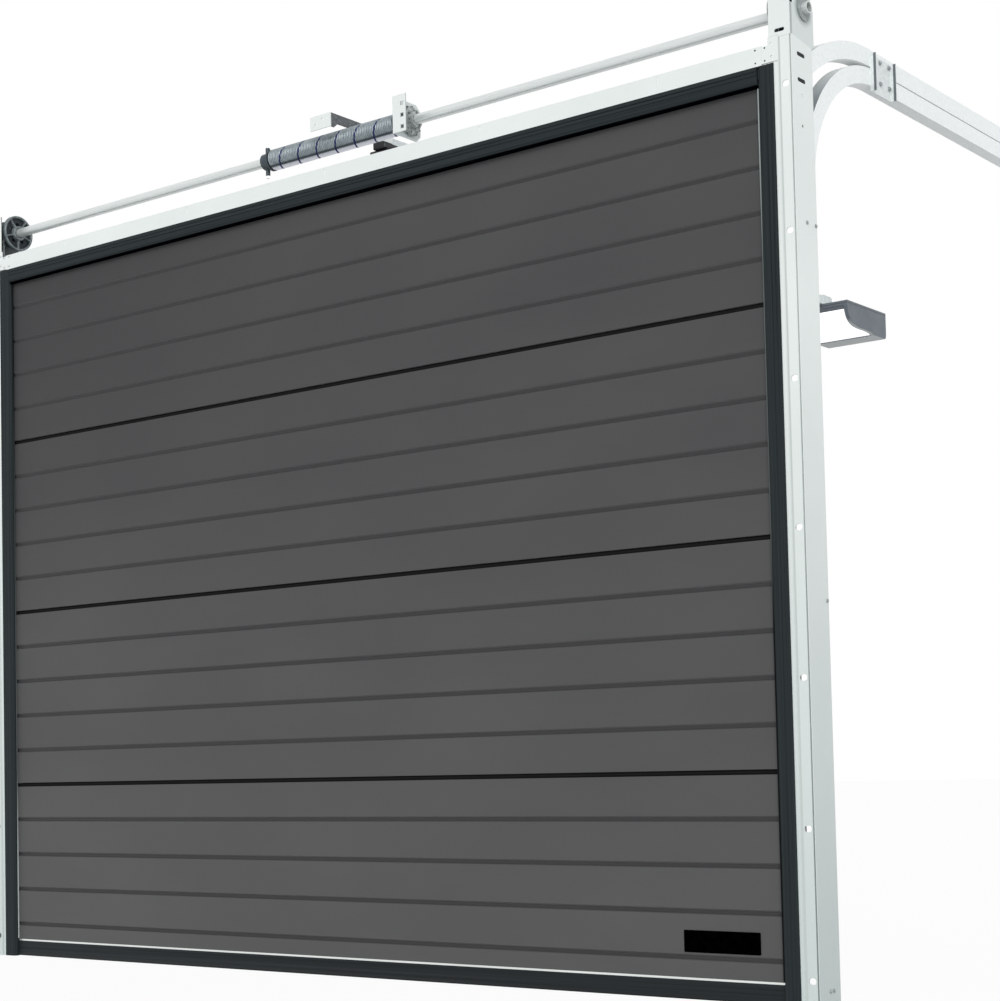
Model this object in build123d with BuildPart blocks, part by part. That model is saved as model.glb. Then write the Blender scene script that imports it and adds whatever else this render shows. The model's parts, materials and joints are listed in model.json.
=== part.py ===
from build123d import *
from math import acos, asin, cos, degrees, radians, sin, sqrt
import os

os.makedirs("parts", exist_ok=True)

# Overhead garage door, millimetres. X runs across the door, Y from the wall face into
# the garage, Z up. The origin lies on the wall face of the head rail, under its middle
# slot. Heights are first given above the floor, and at() turns one into Z.
ORIGIN_RISE = 9.0

# Opening and leaf
CLEAR_WIDTH = 2500.0
CLEAR_HEIGHT = 1963.0
SECTION_COUNT = 4
SECTION_PITCH = 500.0
LEAF_TOP_LAP = 29.0
SECTION_THICKNESS = 40.0
LEAF_LAP = 18.0
LEAF_SETBACK = 16.0
STRIP_PITCH = 100.0
GROOVE_COUNT = 4
GROOVE_WIDTH = 13.0
GROOVE_DEPTH = 5.0
SEAM_GAP = 11.0
SEAM_DEPTH = 9.0
TONGUE_HEIGHT = 5.0
TONGUE_SETBACK = 31.0
LEAF_BOTTOM = 48.0
CAP_SHEET = 1.5
CAP_WRAP = 62.0
RAIL_FOOT = 4.7
RAIL_LEG = 6.0
GROUND_SEAL_WALL = 4.0
GROUND_SEAL_TAPER = 16.0

# Frame of folded sheet, with the seals it carries
SHEET = 2.0
SEAL_WIDTH = 41.0
SEAL_THICKNESS = 8.0
SEAL_LIP = 3.0
SEAL_BEND = 13.0
SEAL_RIBS = 2
SEAL_RIB_PITCH = 9.0
SEAL_RIB_DEPTH = 1.2
STRIP_WIDTH = 12.0
STRIP_RECESS = 2.0
STILE_FACE = 33.0
STILE_DEPTH = 90.0
STILE_RISE = 10.0
STILE_TOP_FALL = 10.0
BEAD_WIDTH = 3.5
BEAD_DEPTH = 7.0
WEB_SLOT_LENGTH = 34.0
WEB_SLOT_HEIGHT = 9.0
WEB_SLOT_SETBACK = 40.0
WEB_SLOT_DROP = 36.0
WEB_SLOT_PITCH = 56.0
WEB_HOLE_RADIUS = 3.5
WEB_HOLE_PITCH = 66.0
HEAD_FACE = 42.0
HEAD_DEPTH = 34.0
SEAL_TAIL = 25.0
SLOT_FIRST = 56.0
SLOT_PITCH = 316.0
SLOT_LENGTH = 17.0
SLOT_HEIGHT = 14.0
HEAD_SLOT_PITCH = 500.0
HEAD_SLOT_COUNT = 5
HEAD_SLOT_WIDTH = 6.0
HEAD_SLOT_LENGTH = 20.0
HEAD_SLOT_LIFT = 6.0
HEAD_END_GAP = 28.0
CORNER_PLATE_RISE = 15.0
CORNER_PLATE_WIDTH = 40.0
CORNER_TAB = 30.0
CORNER_HOLE_RADIUS = 2.5
SEAT = 0.3

# Tracks: one C profile, its open side towards the leaf
TRACK_HEIGHT = 40.0
TRACK_WIDTH = 32.0
TRACK_LIP = 8.0
TRACK_SETBACK = 48.0
TRACK_GAP = 3.0
BEND_RADIUS = 304.0
TRACK_RISE = 78.0
UPPER_BEND_RADIUS = 460.0
UPPER_BEND_START = 366.0
UPPER_FRONT = 44.0
TRACK_END = 2450.0
TRACK_FOOT = 25.0
PLATE_LENGTH = 102.0
PLATE_START = 370.0
PLATE_FLANGE = 14.0
PLATE_OVERLAP = 14.0
PLATE_SHORT = 10.0
HANGER_WIDTH = 40.0
HANGER_RISE = 260.0
HANGER_SHEET = 3.0
HANGER_SLOT_LENGTH = 20.0
HANGER_SLOT_WIDTH = 9.0

# Counterbalance: shaft, drums, spring and their brackets
SHAFT_SETBACK = 60.0
SHAFT_RISE = 81.0
SHAFT_RADIUS = 12.7
SHAFT_WALL = 2.0
SHAFT_OVERHANG = 12.0
RUNNING = 0.05
DRUM_RADIUS = 52.0
BARREL_RADIUS = 38.0
BARREL_LENGTH = 30.0
BARREL_WALL = 5.0
CABLE_GROOVES = 5
CABLE_GROOVE_RADIUS = 1.6
DRUM_WEB = 4.0
DRUM_HUB_RADIUS = 20.0
DRUM_HUB_END = 6.0
DRUM_HOLES = 5
DRUM_HOLE_RADIUS = 5.8
CABLE_RADIUS = 1.5
CABLE_SIDE = 28.0
SPRING_LEFT = -232.0
SPRING_RIGHT = 200.0
SPRING_RADIUS = 27.5
SPRING_WIRE = 5.5
CONE_LENGTH = 30.0
CONE_SPIGOT = 40.0
CONE_TAPER = 4.0
CONE_COLLAR = 6.0
CONE_NECK_STEP = 6.0
CONE_BOSS_RADIUS = 6.0
CONE_BOSS_REACH = 8.5
CONE_FLANGE_STEP = 7.0
CONE_FLANGE = 5.0
CONE_CLEARANCE = 0.5
BRACKET_SHEET = 2.5
BRACKET_WEB_X = 230.0
BRACKET_FLANGE = 42.0
BRACKET_DROP = 44.0
BRACKET_RISE = 49.0
BRACKET_DEPTH = 45.0
BRACKET_BEVEL = 15.0
BRACKET_HOLES = 3
BRACKET_HOLE = 10.0
BRACKET_HOLE_PITCH = 29.0
BRACKET_HOLE_X = 30.0
BRACKET_HOLE_DROP = 3.0
RATCHET_RADIUS = 38.0
RATCHET_TEETH = 12
RATCHET_TOOTH = 6.0
RATCHET_THICKNESS = 9.0
RATCHET_GAP = 3.0
RATCHET_HUB_STEP = 8.0
RATCHET_HUB = 14.0
BEARING_RADIUS = 27.0
BEARING_FLANGE = 3.0
BEARING_BOSS = 6.0
BEARING_BOSS_STEP = 7.0
SIDE_PLATE_RADIUS = 44.0
SIDE_TAB_DROP = 62.0
SIDE_TAB_GAP = 4.0
SIDE_FLANGE_WIDTH = 52.0
SIDE_FLANGE_RISE = 38.0
SIDE_FLANGE_BEVEL = 20.0
SIDE_SLOT_LENGTH = 24.0
SIDE_SLOT_WIDTH = 8.0
SIDE_SLOT_LOW = 15.0
SIDE_SLOT_HIGH = 20.0

# Running gear of the leaf
ROLLER_RADIUS = 17.5
ROLLER_WIDTH = 14.0
AXLE_RADIUS = 5.0
HINGE_PLATE = 2.5
HINGE_WIDTH = 48.0
HINGE_REACH = 60.0
HINGE_HUMP = 8.0
HINGE_INSET = 4.0
MIDDLE_BARREL = 10.0
BARREL_END = 3.0
BOTTOM_ROLLER = 130.0
FOOT_RISE = 8.0
FOOT_ABOVE_ROLLER = 50.0
FOOT_CHEEK_INSET = 8.0
HOLDER_RADIUS = 9.0
ANCHOR_HEIGHT = 85.0
ANCHOR_RADIUS = 6.0
TOP_ROLLER_SETBACK = 76.0
CARRIER_LOW = 130.0
CARRIER_KNEE = 60.0
CARRIER_TOP = 24.0
CARRIER_BEND = 12.0
CARRIER_EAR = 9.0
CARRIER_EAR_DROP = 20.0

# Opener
RAIL_WIDTH = 38.0
RAIL_HEIGHT = 30.0
RAIL_WALL = 2.5
RAIL_MOUTH_LIP = 8.0
RAIL_RISE = 19.0
RAIL_START = 215.0
RAIL_ON_MOTOR = 70.0
HEADER_LEFT = -45.0
HEADER_RIGHT = 24.0
HEADER_STEP = 2.0
HEADER_HEIGHT = 36.0
HEADER_FOOT = 14.0
HEADER_ARM_LAP = 30.0
HEADER_ARM_GAP = 5.0
HEADER_HOLE_RADIUS = 3.2
ARM_WIDTH = 20.0
ARM_THICKNESS = 4.0
ARM_LUG_REACH = 16.0
ARM_LUG_RADIUS = 12.0
ARM_PIN_RADIUS = 4.0
ARM_PIN_END = 3.0
ARM_PLATE_WIDTH = 56.0
ARM_PLATE_HEIGHT = 90.0
DOOR_PIN_DROP = 150.0
DOOR_PIN_SETBACK = 26.0
TROLLEY_START = 222.0
TROLLEY_LENGTH = 100.0
TROLLEY_WIDTH = 76.0
TROLLEY_HEIGHT = 22.0
TROLLEY_ROUND = 5.0
TROLLEY_KEY_WIDTH = 10.0
TROLLEY_KEY_LENGTH = 50.0
TROLLEY_KEY_LOW = 5.0
TROLLEY_KEY_RISE = 12.0
MOTOR_START = 2630.0
MOTOR_LENGTH = 302.0
MOTOR_WIDTH = 230.0
MOTOR_HEIGHT = 95.0
MOTOR_CHEEK = 14.0
MOTOR_NOSE = 20.0
MOTOR_FASCIA = 16.0
MOTOR_BACK = 96.0
MOTOR_CORNER = 12.0
MOTOR_BELLY = [(0, 0), (0.13, 0.66), (0.42, 0.88), (1, 1)]
LAMP_INSET = 3.0
CLIP_LENGTH = 60.0
CLIP_SHEET = 3.0
CLIP_EAR = 30.0

# Derived places
origin_height = CLEAR_HEIGHT + SEAL_WIDTH + ORIGIN_RISE
clear_half = CLEAR_WIDTH / 2
seal_outer = clear_half + SEAL_WIDTH
fold_x = seal_outer + STRIP_WIDTH
stile_outer = fold_x + STILE_FACE
web_inner = stile_outer - SHEET
leaf_half = clear_half + LEAF_LAP
leaf_back = LEAF_SETBACK + SECTION_THICKNESS
cap_back = leaf_back + CAP_SHEET
seal_back = SEAL_THICKNESS + SEAT
head_low = CLEAR_HEIGHT + SEAL_WIDTH
head_high = head_low + HEAD_FACE
stile_top = head_high + STILE_RISE
corner_plate_top = head_high + CORNER_PLATE_RISE
shaft_height = head_high + SHAFT_RISE
side_flange_top = shaft_height + SIDE_FLANGE_RISE
bracket_low = shaft_height - BRACKET_DROP
bracket_high = shaft_height + BRACKET_RISE
rail_bottom = shaft_height + RAIL_RISE
header_low = rail_bottom + HEADER_STEP
header_high = header_low + HEADER_HEIGHT
leaf_top = CLEAR_HEIGHT + LEAF_TOP_LAP
first_seam = leaf_top - (SECTION_COUNT - 1) * SECTION_PITCH
bend_top = CLEAR_HEIGHT + TRACK_RISE
track_outer = web_inner
track_inner = track_outer - TRACK_WIDTH
track_mid = TRACK_SETBACK + TRACK_HEIGHT / 2
bend_y = TRACK_SETBACK + TRACK_HEIGHT + BEND_RADIUS
bend_z = bend_top - BEND_RADIUS
lower_top = bend_top + TRACK_HEIGHT
upper_low = lower_top + TRACK_GAP
upper_top = upper_low + TRACK_HEIGHT
upper_bend_z = upper_low - UPPER_BEND_RADIUS
upper_mid_radius = UPPER_BEND_RADIUS + TRACK_HEIGHT / 2
upper_angle = degrees(asin((UPPER_BEND_START - UPPER_FRONT) / (UPPER_BEND_RADIUS + TRACK_HEIGHT)))
cable_x = leaf_half + CABLE_SIDE
drum_flange_x = cable_x - BARREL_LENGTH / 2
cable_reach = BARREL_RADIUS + SEAT + CABLE_RADIUS
seams = [first_seam + i * SECTION_PITCH for i in range(SECTION_COUNT - 1)]


def at(height):
    return height - origin_height


def save(piece, name):
    piece.part.label = name
    export_step(piece.part, "parts/" + name + ".step")


def across(x):
    # plane across the door at x: its first axis is Y and its second is Z
    return Plane(origin=(x, 0, 0), x_dir=(0, 1, 0), z_dir=(1, 0, 0))


def facing(y):
    # plane parallel to the wall at y, normal towards the wall: X, then Z
    return Plane(origin=(0, y, 0), x_dir=(1, 0, 0), z_dir=(0, -1, 0))


# Leaf sections: ribbed face, tongue on top, rebate below
def section_profile(low, high, has_tongue, has_rebate):
    front = LEAF_SETBACK
    back = leaf_back
    tongue_back = front + TONGUE_SETBACK
    bottom = low + SEAM_GAP / 2 if has_rebate else low
    points = [(front, at(bottom))]
    grooves = [high - STRIP_PITCH * (GROOVE_COUNT - i) for i in range(GROOVE_COUNT)]
    for middle in [height for height in grooves if height > low + 2 * GROOVE_WIDTH]:
        points.append((front, at(middle - GROOVE_WIDTH / 2)))
        points.append((front + GROOVE_DEPTH, at(middle - GROOVE_WIDTH / 4)))
        points.append((front + GROOVE_DEPTH, at(middle + GROOVE_WIDTH / 4)))
        points.append((front, at(middle + GROOVE_WIDTH / 2)))
    if has_tongue:
        points.append((front, at(high - SEAM_GAP / 2)))
        points.append((front + SEAM_DEPTH, at(high - SEAM_GAP / 2)))
        points.append((front + SEAM_DEPTH, at(high)))
        points.append((front + SEAM_DEPTH + TONGUE_HEIGHT / 2, at(high + TONGUE_HEIGHT)))
        points.append((tongue_back, at(high + TONGUE_HEIGHT)))
        points.append((tongue_back, at(high - SEAT / 2)))
        points.append((back, at(high - SEAT / 2)))
    else:
        points.append((front, at(high)))
        points.append((back, at(high)))
    if has_rebate:
        points.append((back, at(low + SEAT / 2)))
        points.append((tongue_back + SEAT, at(low + SEAT / 2)))
        points.append((tongue_back + SEAT, at(bottom)))
    else:
        points.append((back, at(low)))
    return points


for number in range(SECTION_COUNT):
    high = first_seam + number * SECTION_PITCH
    low = high - SECTION_PITCH if number else LEAF_BOTTOM
    with BuildPart() as section:
        with BuildSketch(across(-leaf_half)):
            with BuildLine():
                Polyline(*section_profile(low, high, number < SECTION_COUNT - 1, number > 0), close=True)
            make_face()
        extrude(amount=2 * leaf_half)
    save(section, "section_" + str(number + 1))

# End caps of folded sheet over the ends of the sections, each wrapped onto the back
with BuildPart() as end_caps:
    for number in range(SECTION_COUNT):
        high = first_seam + number * SECTION_PITCH - SEAM_GAP / 2
        low = high - SECTION_PITCH + SEAM_GAP if number else LEAF_BOTTOM
        with BuildSketch(Plane.XY.offset(at(low))):
            with BuildLine():
                Polyline(
                    (leaf_half, LEAF_SETBACK),
                    (leaf_half + CAP_SHEET, LEAF_SETBACK),
                    (leaf_half + CAP_SHEET, cap_back),
                    (leaf_half - CAP_WRAP, cap_back),
                    (leaf_half - CAP_WRAP, leaf_back),
                    (leaf_half, leaf_back),
                    close=True,
                )
            make_face()
        extrude(amount=high - low)
    mirror(about=Plane.YZ)
save(end_caps, "end_caps")

# Aluminium rail under the bottom section and the rubber seal that hangs from it
rail_low = LEAF_BOTTOM - RAIL_FOOT
with BuildPart() as bottom_rail:
    with BuildSketch(across(-leaf_half)):
        with BuildLine():
            Polyline(
                (LEAF_SETBACK, at(rail_low)),
                (LEAF_SETBACK, at(LEAF_BOTTOM)),
                (leaf_back, at(LEAF_BOTTOM)),
                (leaf_back, at(rail_low)),
                (leaf_back - RAIL_LEG, at(rail_low)),
                (leaf_back - RAIL_LEG, at(rail_low + SHEET)),
                (LEAF_SETBACK + RAIL_LEG, at(rail_low + SHEET)),
                (LEAF_SETBACK + RAIL_LEG, at(rail_low)),
                close=True,
            )
        make_face()
    extrude(amount=2 * leaf_half)
save(bottom_rail, "bottom_rail")

with BuildPart() as bottom_seal:
    with BuildSketch(across(-leaf_half)):
        with BuildLine():
            Polyline(
                (LEAF_SETBACK + SEAT, at(rail_low)),
                (leaf_back - SEAT, at(rail_low)),
                (leaf_back - SEAT, at(GROUND_SEAL_TAPER)),
                (leaf_back - 2 * GROUND_SEAL_WALL, at(0)),
                (LEAF_SETBACK + 2 * GROUND_SEAL_WALL, at(0)),
                (LEAF_SETBACK + SEAT, at(GROUND_SEAL_TAPER)),
                close=True,
            )
        make_face()
        offset(amount=-GROUND_SEAL_WALL, mode=Mode.SUBTRACT)
    extrude(amount=2 * leaf_half)
save(bottom_seal, "bottom_seal")

# Stile: sheet folded round the seal, a face for the wall, a pressed bead along the
# corner and a deep web with slots for the brackets
bead_x = web_inner - BEAD_WIDTH
bead_back = BEAD_DEPTH + SHEET
slot_count = int((stile_top - SLOT_FIRST) / SLOT_PITCH) + 1
slot_x = fold_x + STILE_FACE / 2
upper_slot = stile_top - WEB_SLOT_DROP
lower_slot = upper_slot - WEB_SLOT_PITCH
first_hole = lower_slot - WEB_HOLE_PITCH / 2
web_slots = [(WEB_SLOT_SETBACK, at(height)) for height in (upper_slot, lower_slot)]
web_holes = [(WEB_SLOT_SETBACK, at(height)) for height in (first_hole, first_hole - WEB_HOLE_PITCH)]
with BuildPart() as stile_right:
    with BuildSketch(Plane.XY.offset(at(0))):
        with BuildLine():
            Polyline(
                (seal_outer - SEAL_TAIL, seal_back),
                (seal_outer, seal_back),
                (seal_outer, STRIP_RECESS),
                (fold_x, STRIP_RECESS),
                (fold_x, 0),
                (bead_x, 0),
                (bead_x, BEAD_DEPTH),
                (web_inner, BEAD_DEPTH),
                (web_inner, 0),
                (stile_outer, 0),
                (stile_outer, STILE_DEPTH),
                (web_inner, STILE_DEPTH),
                (web_inner, bead_back),
                (bead_x - SHEET, bead_back),
                (bead_x - SHEET, SHEET),
                (fold_x + SHEET, SHEET),
                (fold_x + SHEET, STRIP_RECESS + SHEET),
                (seal_outer + SHEET, STRIP_RECESS + SHEET),
                (seal_outer + SHEET, seal_back + SHEET),
                (seal_outer - SEAL_TAIL, seal_back + SHEET),
                close=True,
            )
        make_face()
    extrude(amount=stile_top)
    with BuildSketch(across(web_inner)):
        with BuildLine():
            Polyline(
                (bead_back, at(stile_top)),
                (STILE_DEPTH, at(stile_top - STILE_TOP_FALL)),
                (STILE_DEPTH, at(stile_top)),
                close=True,
            )
        make_face()
    extrude(amount=SHEET, mode=Mode.SUBTRACT)
    with BuildSketch(Plane.XY.offset(at(head_low))):
        with Locations((seal_outer - SEAL_TAIL / 2, seal_back + SHEET / 2)):
            Rectangle(SEAL_TAIL, SHEET)
    extrude(amount=stile_top - head_low, mode=Mode.SUBTRACT)
    with BuildSketch(facing(0)):
        with Locations(*[(slot_x, at(SLOT_FIRST + i * SLOT_PITCH)) for i in range(slot_count)]):
            SlotOverall(SLOT_LENGTH, SLOT_HEIGHT)
    extrude(amount=-SHEET, mode=Mode.SUBTRACT)
    with BuildSketch(across(web_inner)):
        with Locations(*web_slots):
            SlotOverall(WEB_SLOT_LENGTH, WEB_SLOT_HEIGHT)
        with Locations(*web_holes):
            Circle(WEB_HOLE_RADIUS)
    extrude(amount=SHEET, mode=Mode.SUBTRACT)
save(stile_right, "stile_right")

with BuildPart() as stile_left:
    add(mirror(stile_right.part, about=Plane.YZ, mode=Mode.PRIVATE))
save(stile_left, "stile_left")

# Head rail between the stiles, folded in the same way
head_half = seal_outer - HEAD_END_GAP
head_slot_z = (head_low + head_high) / 2 + HEAD_SLOT_LIFT
head_slot_start = -(HEAD_SLOT_COUNT - 1) / 2 * HEAD_SLOT_PITCH
head_slots = [(head_slot_start + i * HEAD_SLOT_PITCH, at(head_slot_z)) for i in range(HEAD_SLOT_COUNT)]
tail_ends = [(side * (clear_half + head_half), at(head_low - SEAL_TAIL)) for side in (1, -1)]
with BuildPart() as head_rail:
    with BuildSketch(across(-head_half)):
        with BuildLine():
            Polyline(
                (seal_back, at(head_low - SEAL_TAIL)),
                (seal_back, at(head_low)),
                (0, at(head_low)),
                (0, at(head_high)),
                (HEAD_DEPTH, at(head_high)),
                (HEAD_DEPTH, at(head_high - SHEET)),
                (SHEET, at(head_high - SHEET)),
                (SHEET, at(head_low + SHEET)),
                (seal_back + SHEET, at(head_low + SHEET)),
                (seal_back + SHEET, at(head_low - SEAL_TAIL)),
                close=True,
            )
        make_face()
    extrude(amount=2 * head_half)
    with BuildSketch(facing(0)):
        with Locations(*tail_ends):
            Rectangle(2 * head_half + 2 * SEAT, 2 * SEAL_TAIL)
    extrude(amount=-STILE_DEPTH, mode=Mode.SUBTRACT)
    with BuildSketch(facing(0)):
        with Locations(*head_slots):
            SlotOverall(HEAD_SLOT_LENGTH, HEAD_SLOT_WIDTH, rotation=90)
    extrude(amount=-SHEET, mode=Mode.SUBTRACT)
save(head_rail, "head_rail")

# Corner plates that tie the head rail to the stiles
tab_low = head_high - 3 * SHEET
corner_hole_x = seal_outer - 2 * SHEET
with BuildPart() as corner_plates:
    with BuildSketch(Plane.XY.offset(at(head_low + SHEET + SEAT))):
        with BuildLine():
            Polyline(
                (head_half, 0),
                (head_half + CORNER_PLATE_WIDTH, 0),
                (head_half + CORNER_PLATE_WIDTH, STRIP_RECESS),
                (seal_outer, STRIP_RECESS),
                (seal_outer, STRIP_RECESS + SHEET),
                (head_half - CORNER_TAB, STRIP_RECESS + SHEET),
                (head_half - CORNER_TAB, STRIP_RECESS),
                (head_half, STRIP_RECESS),
                close=True,
            )
        make_face()
    extrude(amount=HEAD_FACE - 2 * SHEET - 2 * SEAT)
    with BuildSketch(facing(0)):
        with Locations((fold_x - STRIP_WIDTH, at((tab_low + corner_plate_top) / 2))):
            Rectangle(2 * STRIP_WIDTH, corner_plate_top - tab_low)
    extrude(amount=-STRIP_RECESS)
    with BuildSketch(facing(0)):
        with Locations((corner_hole_x, at(head_low + HEAD_FACE / 3)), (corner_hole_x, at(head_high))):
            Circle(CORNER_HOLE_RADIUS)
    extrude(amount=-STRIP_RECESS - SHEET, mode=Mode.SUBTRACT)
    mirror(about=Plane.YZ)
save(corner_plates, "corner_plates")

# Frame seals: a ribbed body clipped to the frame and a lip that meets the leaf
lip_back = LEAF_SETBACK - SEAT
seal_shape = [(0, lip_back), (0, SEAL_THICKNESS), (SEAL_LIP, SEAL_LIP)]
seal_shape += [(SEAL_BEND * 2 / 3, SEAT), (SEAL_BEND, 0)]
for i in range(SEAL_RIBS):
    rib = SEAL_BEND + (i + 1) * SEAL_RIB_PITCH
    seal_shape += [(rib - SEAL_RIB_DEPTH, 0), (rib, SEAL_RIB_DEPTH), (rib + SEAL_RIB_DEPTH, 0)]
seal_shape += [(SEAL_WIDTH, 0), (SEAL_WIDTH, SEAL_THICKNESS), (SEAL_BEND, SEAL_THICKNESS)]
seal_shape += [(2 * SEAL_LIP, SEAL_THICKNESS + SEAT), (SEAL_LIP, lip_back)]
with BuildPart() as seal_right:
    with BuildSketch(Plane.XY.offset(at(0))):
        with BuildLine():
            Polyline(*[(clear_half + u, v) for u, v in seal_shape], close=True)
        make_face()
    extrude(amount=head_low)
save(seal_right, "seal_right")

with BuildPart() as seal_left:
    add(mirror(seal_right.part, about=Plane.YZ, mode=Mode.PRIVATE))
save(seal_left, "seal_left")

with BuildPart() as seal_top:
    with BuildSketch(across(-clear_half + SEAT)):
        with BuildLine():
            Polyline(*[(v, at(CLEAR_HEIGHT + u)) for u, v in seal_shape], close=True)
        make_face()
    extrude(amount=2 * (clear_half - SEAT))
save(seal_top, "seal_top")


# Track profile, drawn about the middle of the channel with its open side at -x
def track_profile():
    Rectangle(TRACK_WIDTH, TRACK_HEIGHT)
    Rectangle(TRACK_WIDTH - 2 * SHEET, TRACK_HEIGHT - 2 * SHEET, mode=Mode.SUBTRACT)
    with Locations((-TRACK_WIDTH / 2, 0)):
        Rectangle(3 * SHEET, TRACK_HEIGHT - 2 * SHEET - 2 * TRACK_LIP, mode=Mode.SUBTRACT)


track_x = (track_outer + track_inner) / 2


def track_plane(y, z):
    # upright plane at y across a level track, its normal pointing into the garage
    return Plane(origin=(track_x, y, at(z)), x_dir=(1, 0, 0), z_dir=(0, 1, 0))


with BuildPart() as vertical_tracks:
    with BuildSketch(Plane(origin=(track_x, track_mid, at(TRACK_FOOT)))):
        track_profile()
    extrude(amount=bend_z - TRACK_FOOT - SEAT / 2)
    mirror(about=Plane.YZ)
save(vertical_tracks, "vertical_tracks")

with BuildPart() as curved_tracks:
    with BuildSketch(Plane(origin=(track_x, track_mid, at(bend_z)))):
        track_profile()
    revolve(axis=Axis((0, bend_y, at(bend_z)), (-1, 0, 0)), revolution_arc=90)
    mirror(about=Plane.YZ)
save(curved_tracks, "curved_tracks")

with BuildPart() as lower_tracks:
    with BuildSketch(track_plane(bend_y + SEAT / 2, (bend_top + lower_top) / 2)):
        track_profile()
    extrude(amount=TRACK_END - bend_y - SEAT / 2)
    mirror(about=Plane.YZ)
save(lower_tracks, "lower_tracks")

with BuildPart() as upper_tracks:
    with BuildSketch(track_plane(UPPER_BEND_START, (upper_low + upper_top) / 2)):
        track_profile()
    extrude(amount=TRACK_END - UPPER_BEND_START)
    with BuildSketch(track_plane(UPPER_BEND_START, (upper_low + upper_top) / 2)):
        track_profile()
    revolve(axis=Axis((0, UPPER_BEND_START, at(upper_bend_z)), (1, 0, 0)), revolution_arc=upper_angle)
    mirror(about=Plane.YZ)
save(upper_tracks, "upper_tracks")

# Joint plates: folded plates bolted outside both tracks where the bend ends
with BuildPart() as joint_plates:
    with BuildSketch(Plane(origin=(0, 0, at(bend_top - PLATE_OVERLAP)))):
        with BuildLine():
            Polyline(
                (track_outer + SHEET + PLATE_FLANGE, PLATE_START),
                (track_outer, PLATE_START),
                (track_outer, PLATE_START + PLATE_LENGTH),
                (track_outer + SHEET + PLATE_FLANGE, PLATE_START + PLATE_LENGTH),
                (track_outer + SHEET + PLATE_FLANGE, PLATE_START + PLATE_LENGTH - SHEET),
                (track_outer + SHEET, PLATE_START + PLATE_LENGTH - SHEET),
                (track_outer + SHEET, PLATE_START + SHEET),
                (track_outer + SHEET + PLATE_FLANGE, PLATE_START + SHEET),
                close=True,
            )
        make_face()
    extrude(amount=upper_top - bend_top + PLATE_OVERLAP - PLATE_SHORT)
    mirror(about=Plane.YZ)
save(joint_plates, "joint_plates")

# Rear hangers: angles bolted to the ends of the tracks, with a foot for the ceiling
hanger_y = TRACK_END - 1.5 * HANGER_WIDTH
with BuildPart() as rear_hangers:
    with BuildSketch(facing(TRACK_END - 2 * HANGER_WIDTH)):
        with BuildLine():
            Polyline(
                (track_outer, at(bend_top)),
                (track_outer + HANGER_SHEET, at(bend_top)),
                (track_outer + HANGER_SHEET, at(upper_top + HANGER_RISE)),
                (track_outer + HANGER_SHEET - HANGER_WIDTH, at(upper_top + HANGER_RISE)),
                (track_outer + HANGER_SHEET - HANGER_WIDTH, at(upper_top + HANGER_RISE - HANGER_SHEET)),
                (track_outer, at(upper_top + HANGER_RISE - HANGER_SHEET)),
                close=True,
            )
        make_face()
    extrude(amount=-HANGER_WIDTH)
    with BuildSketch(Plane.XY.offset(at(upper_top + HANGER_RISE))):
        with Locations((track_outer - HANGER_WIDTH / 2 + HANGER_SHEET, hanger_y)):
            SlotOverall(HANGER_SLOT_LENGTH, HANGER_SLOT_WIDTH)
    extrude(amount=-HANGER_SHEET, mode=Mode.SUBTRACT)
    mirror(about=Plane.YZ)
save(rear_hangers, "rear_hangers")

# Side bearing brackets above the stiles, each with its flanged bearing
plate_outer = web_inner - SEAT
plate_inner = plate_outer - BRACKET_SHEET
side_low = stile_top - SIDE_TAB_DROP
tab_back = UPPER_FRONT - SIDE_TAB_GAP
side_back = SHAFT_SETBACK + SIDE_PLATE_RADIUS
shaft_axis = (SHAFT_SETBACK, at(shaft_height))


def above_upper_track(y):
    # height just over the outer edge of the upper track's bend
    reach = UPPER_BEND_RADIUS + TRACK_HEIGHT + TRACK_GAP
    return upper_bend_z + sqrt(reach ** 2 - (UPPER_BEND_START - y) ** 2)


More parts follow.
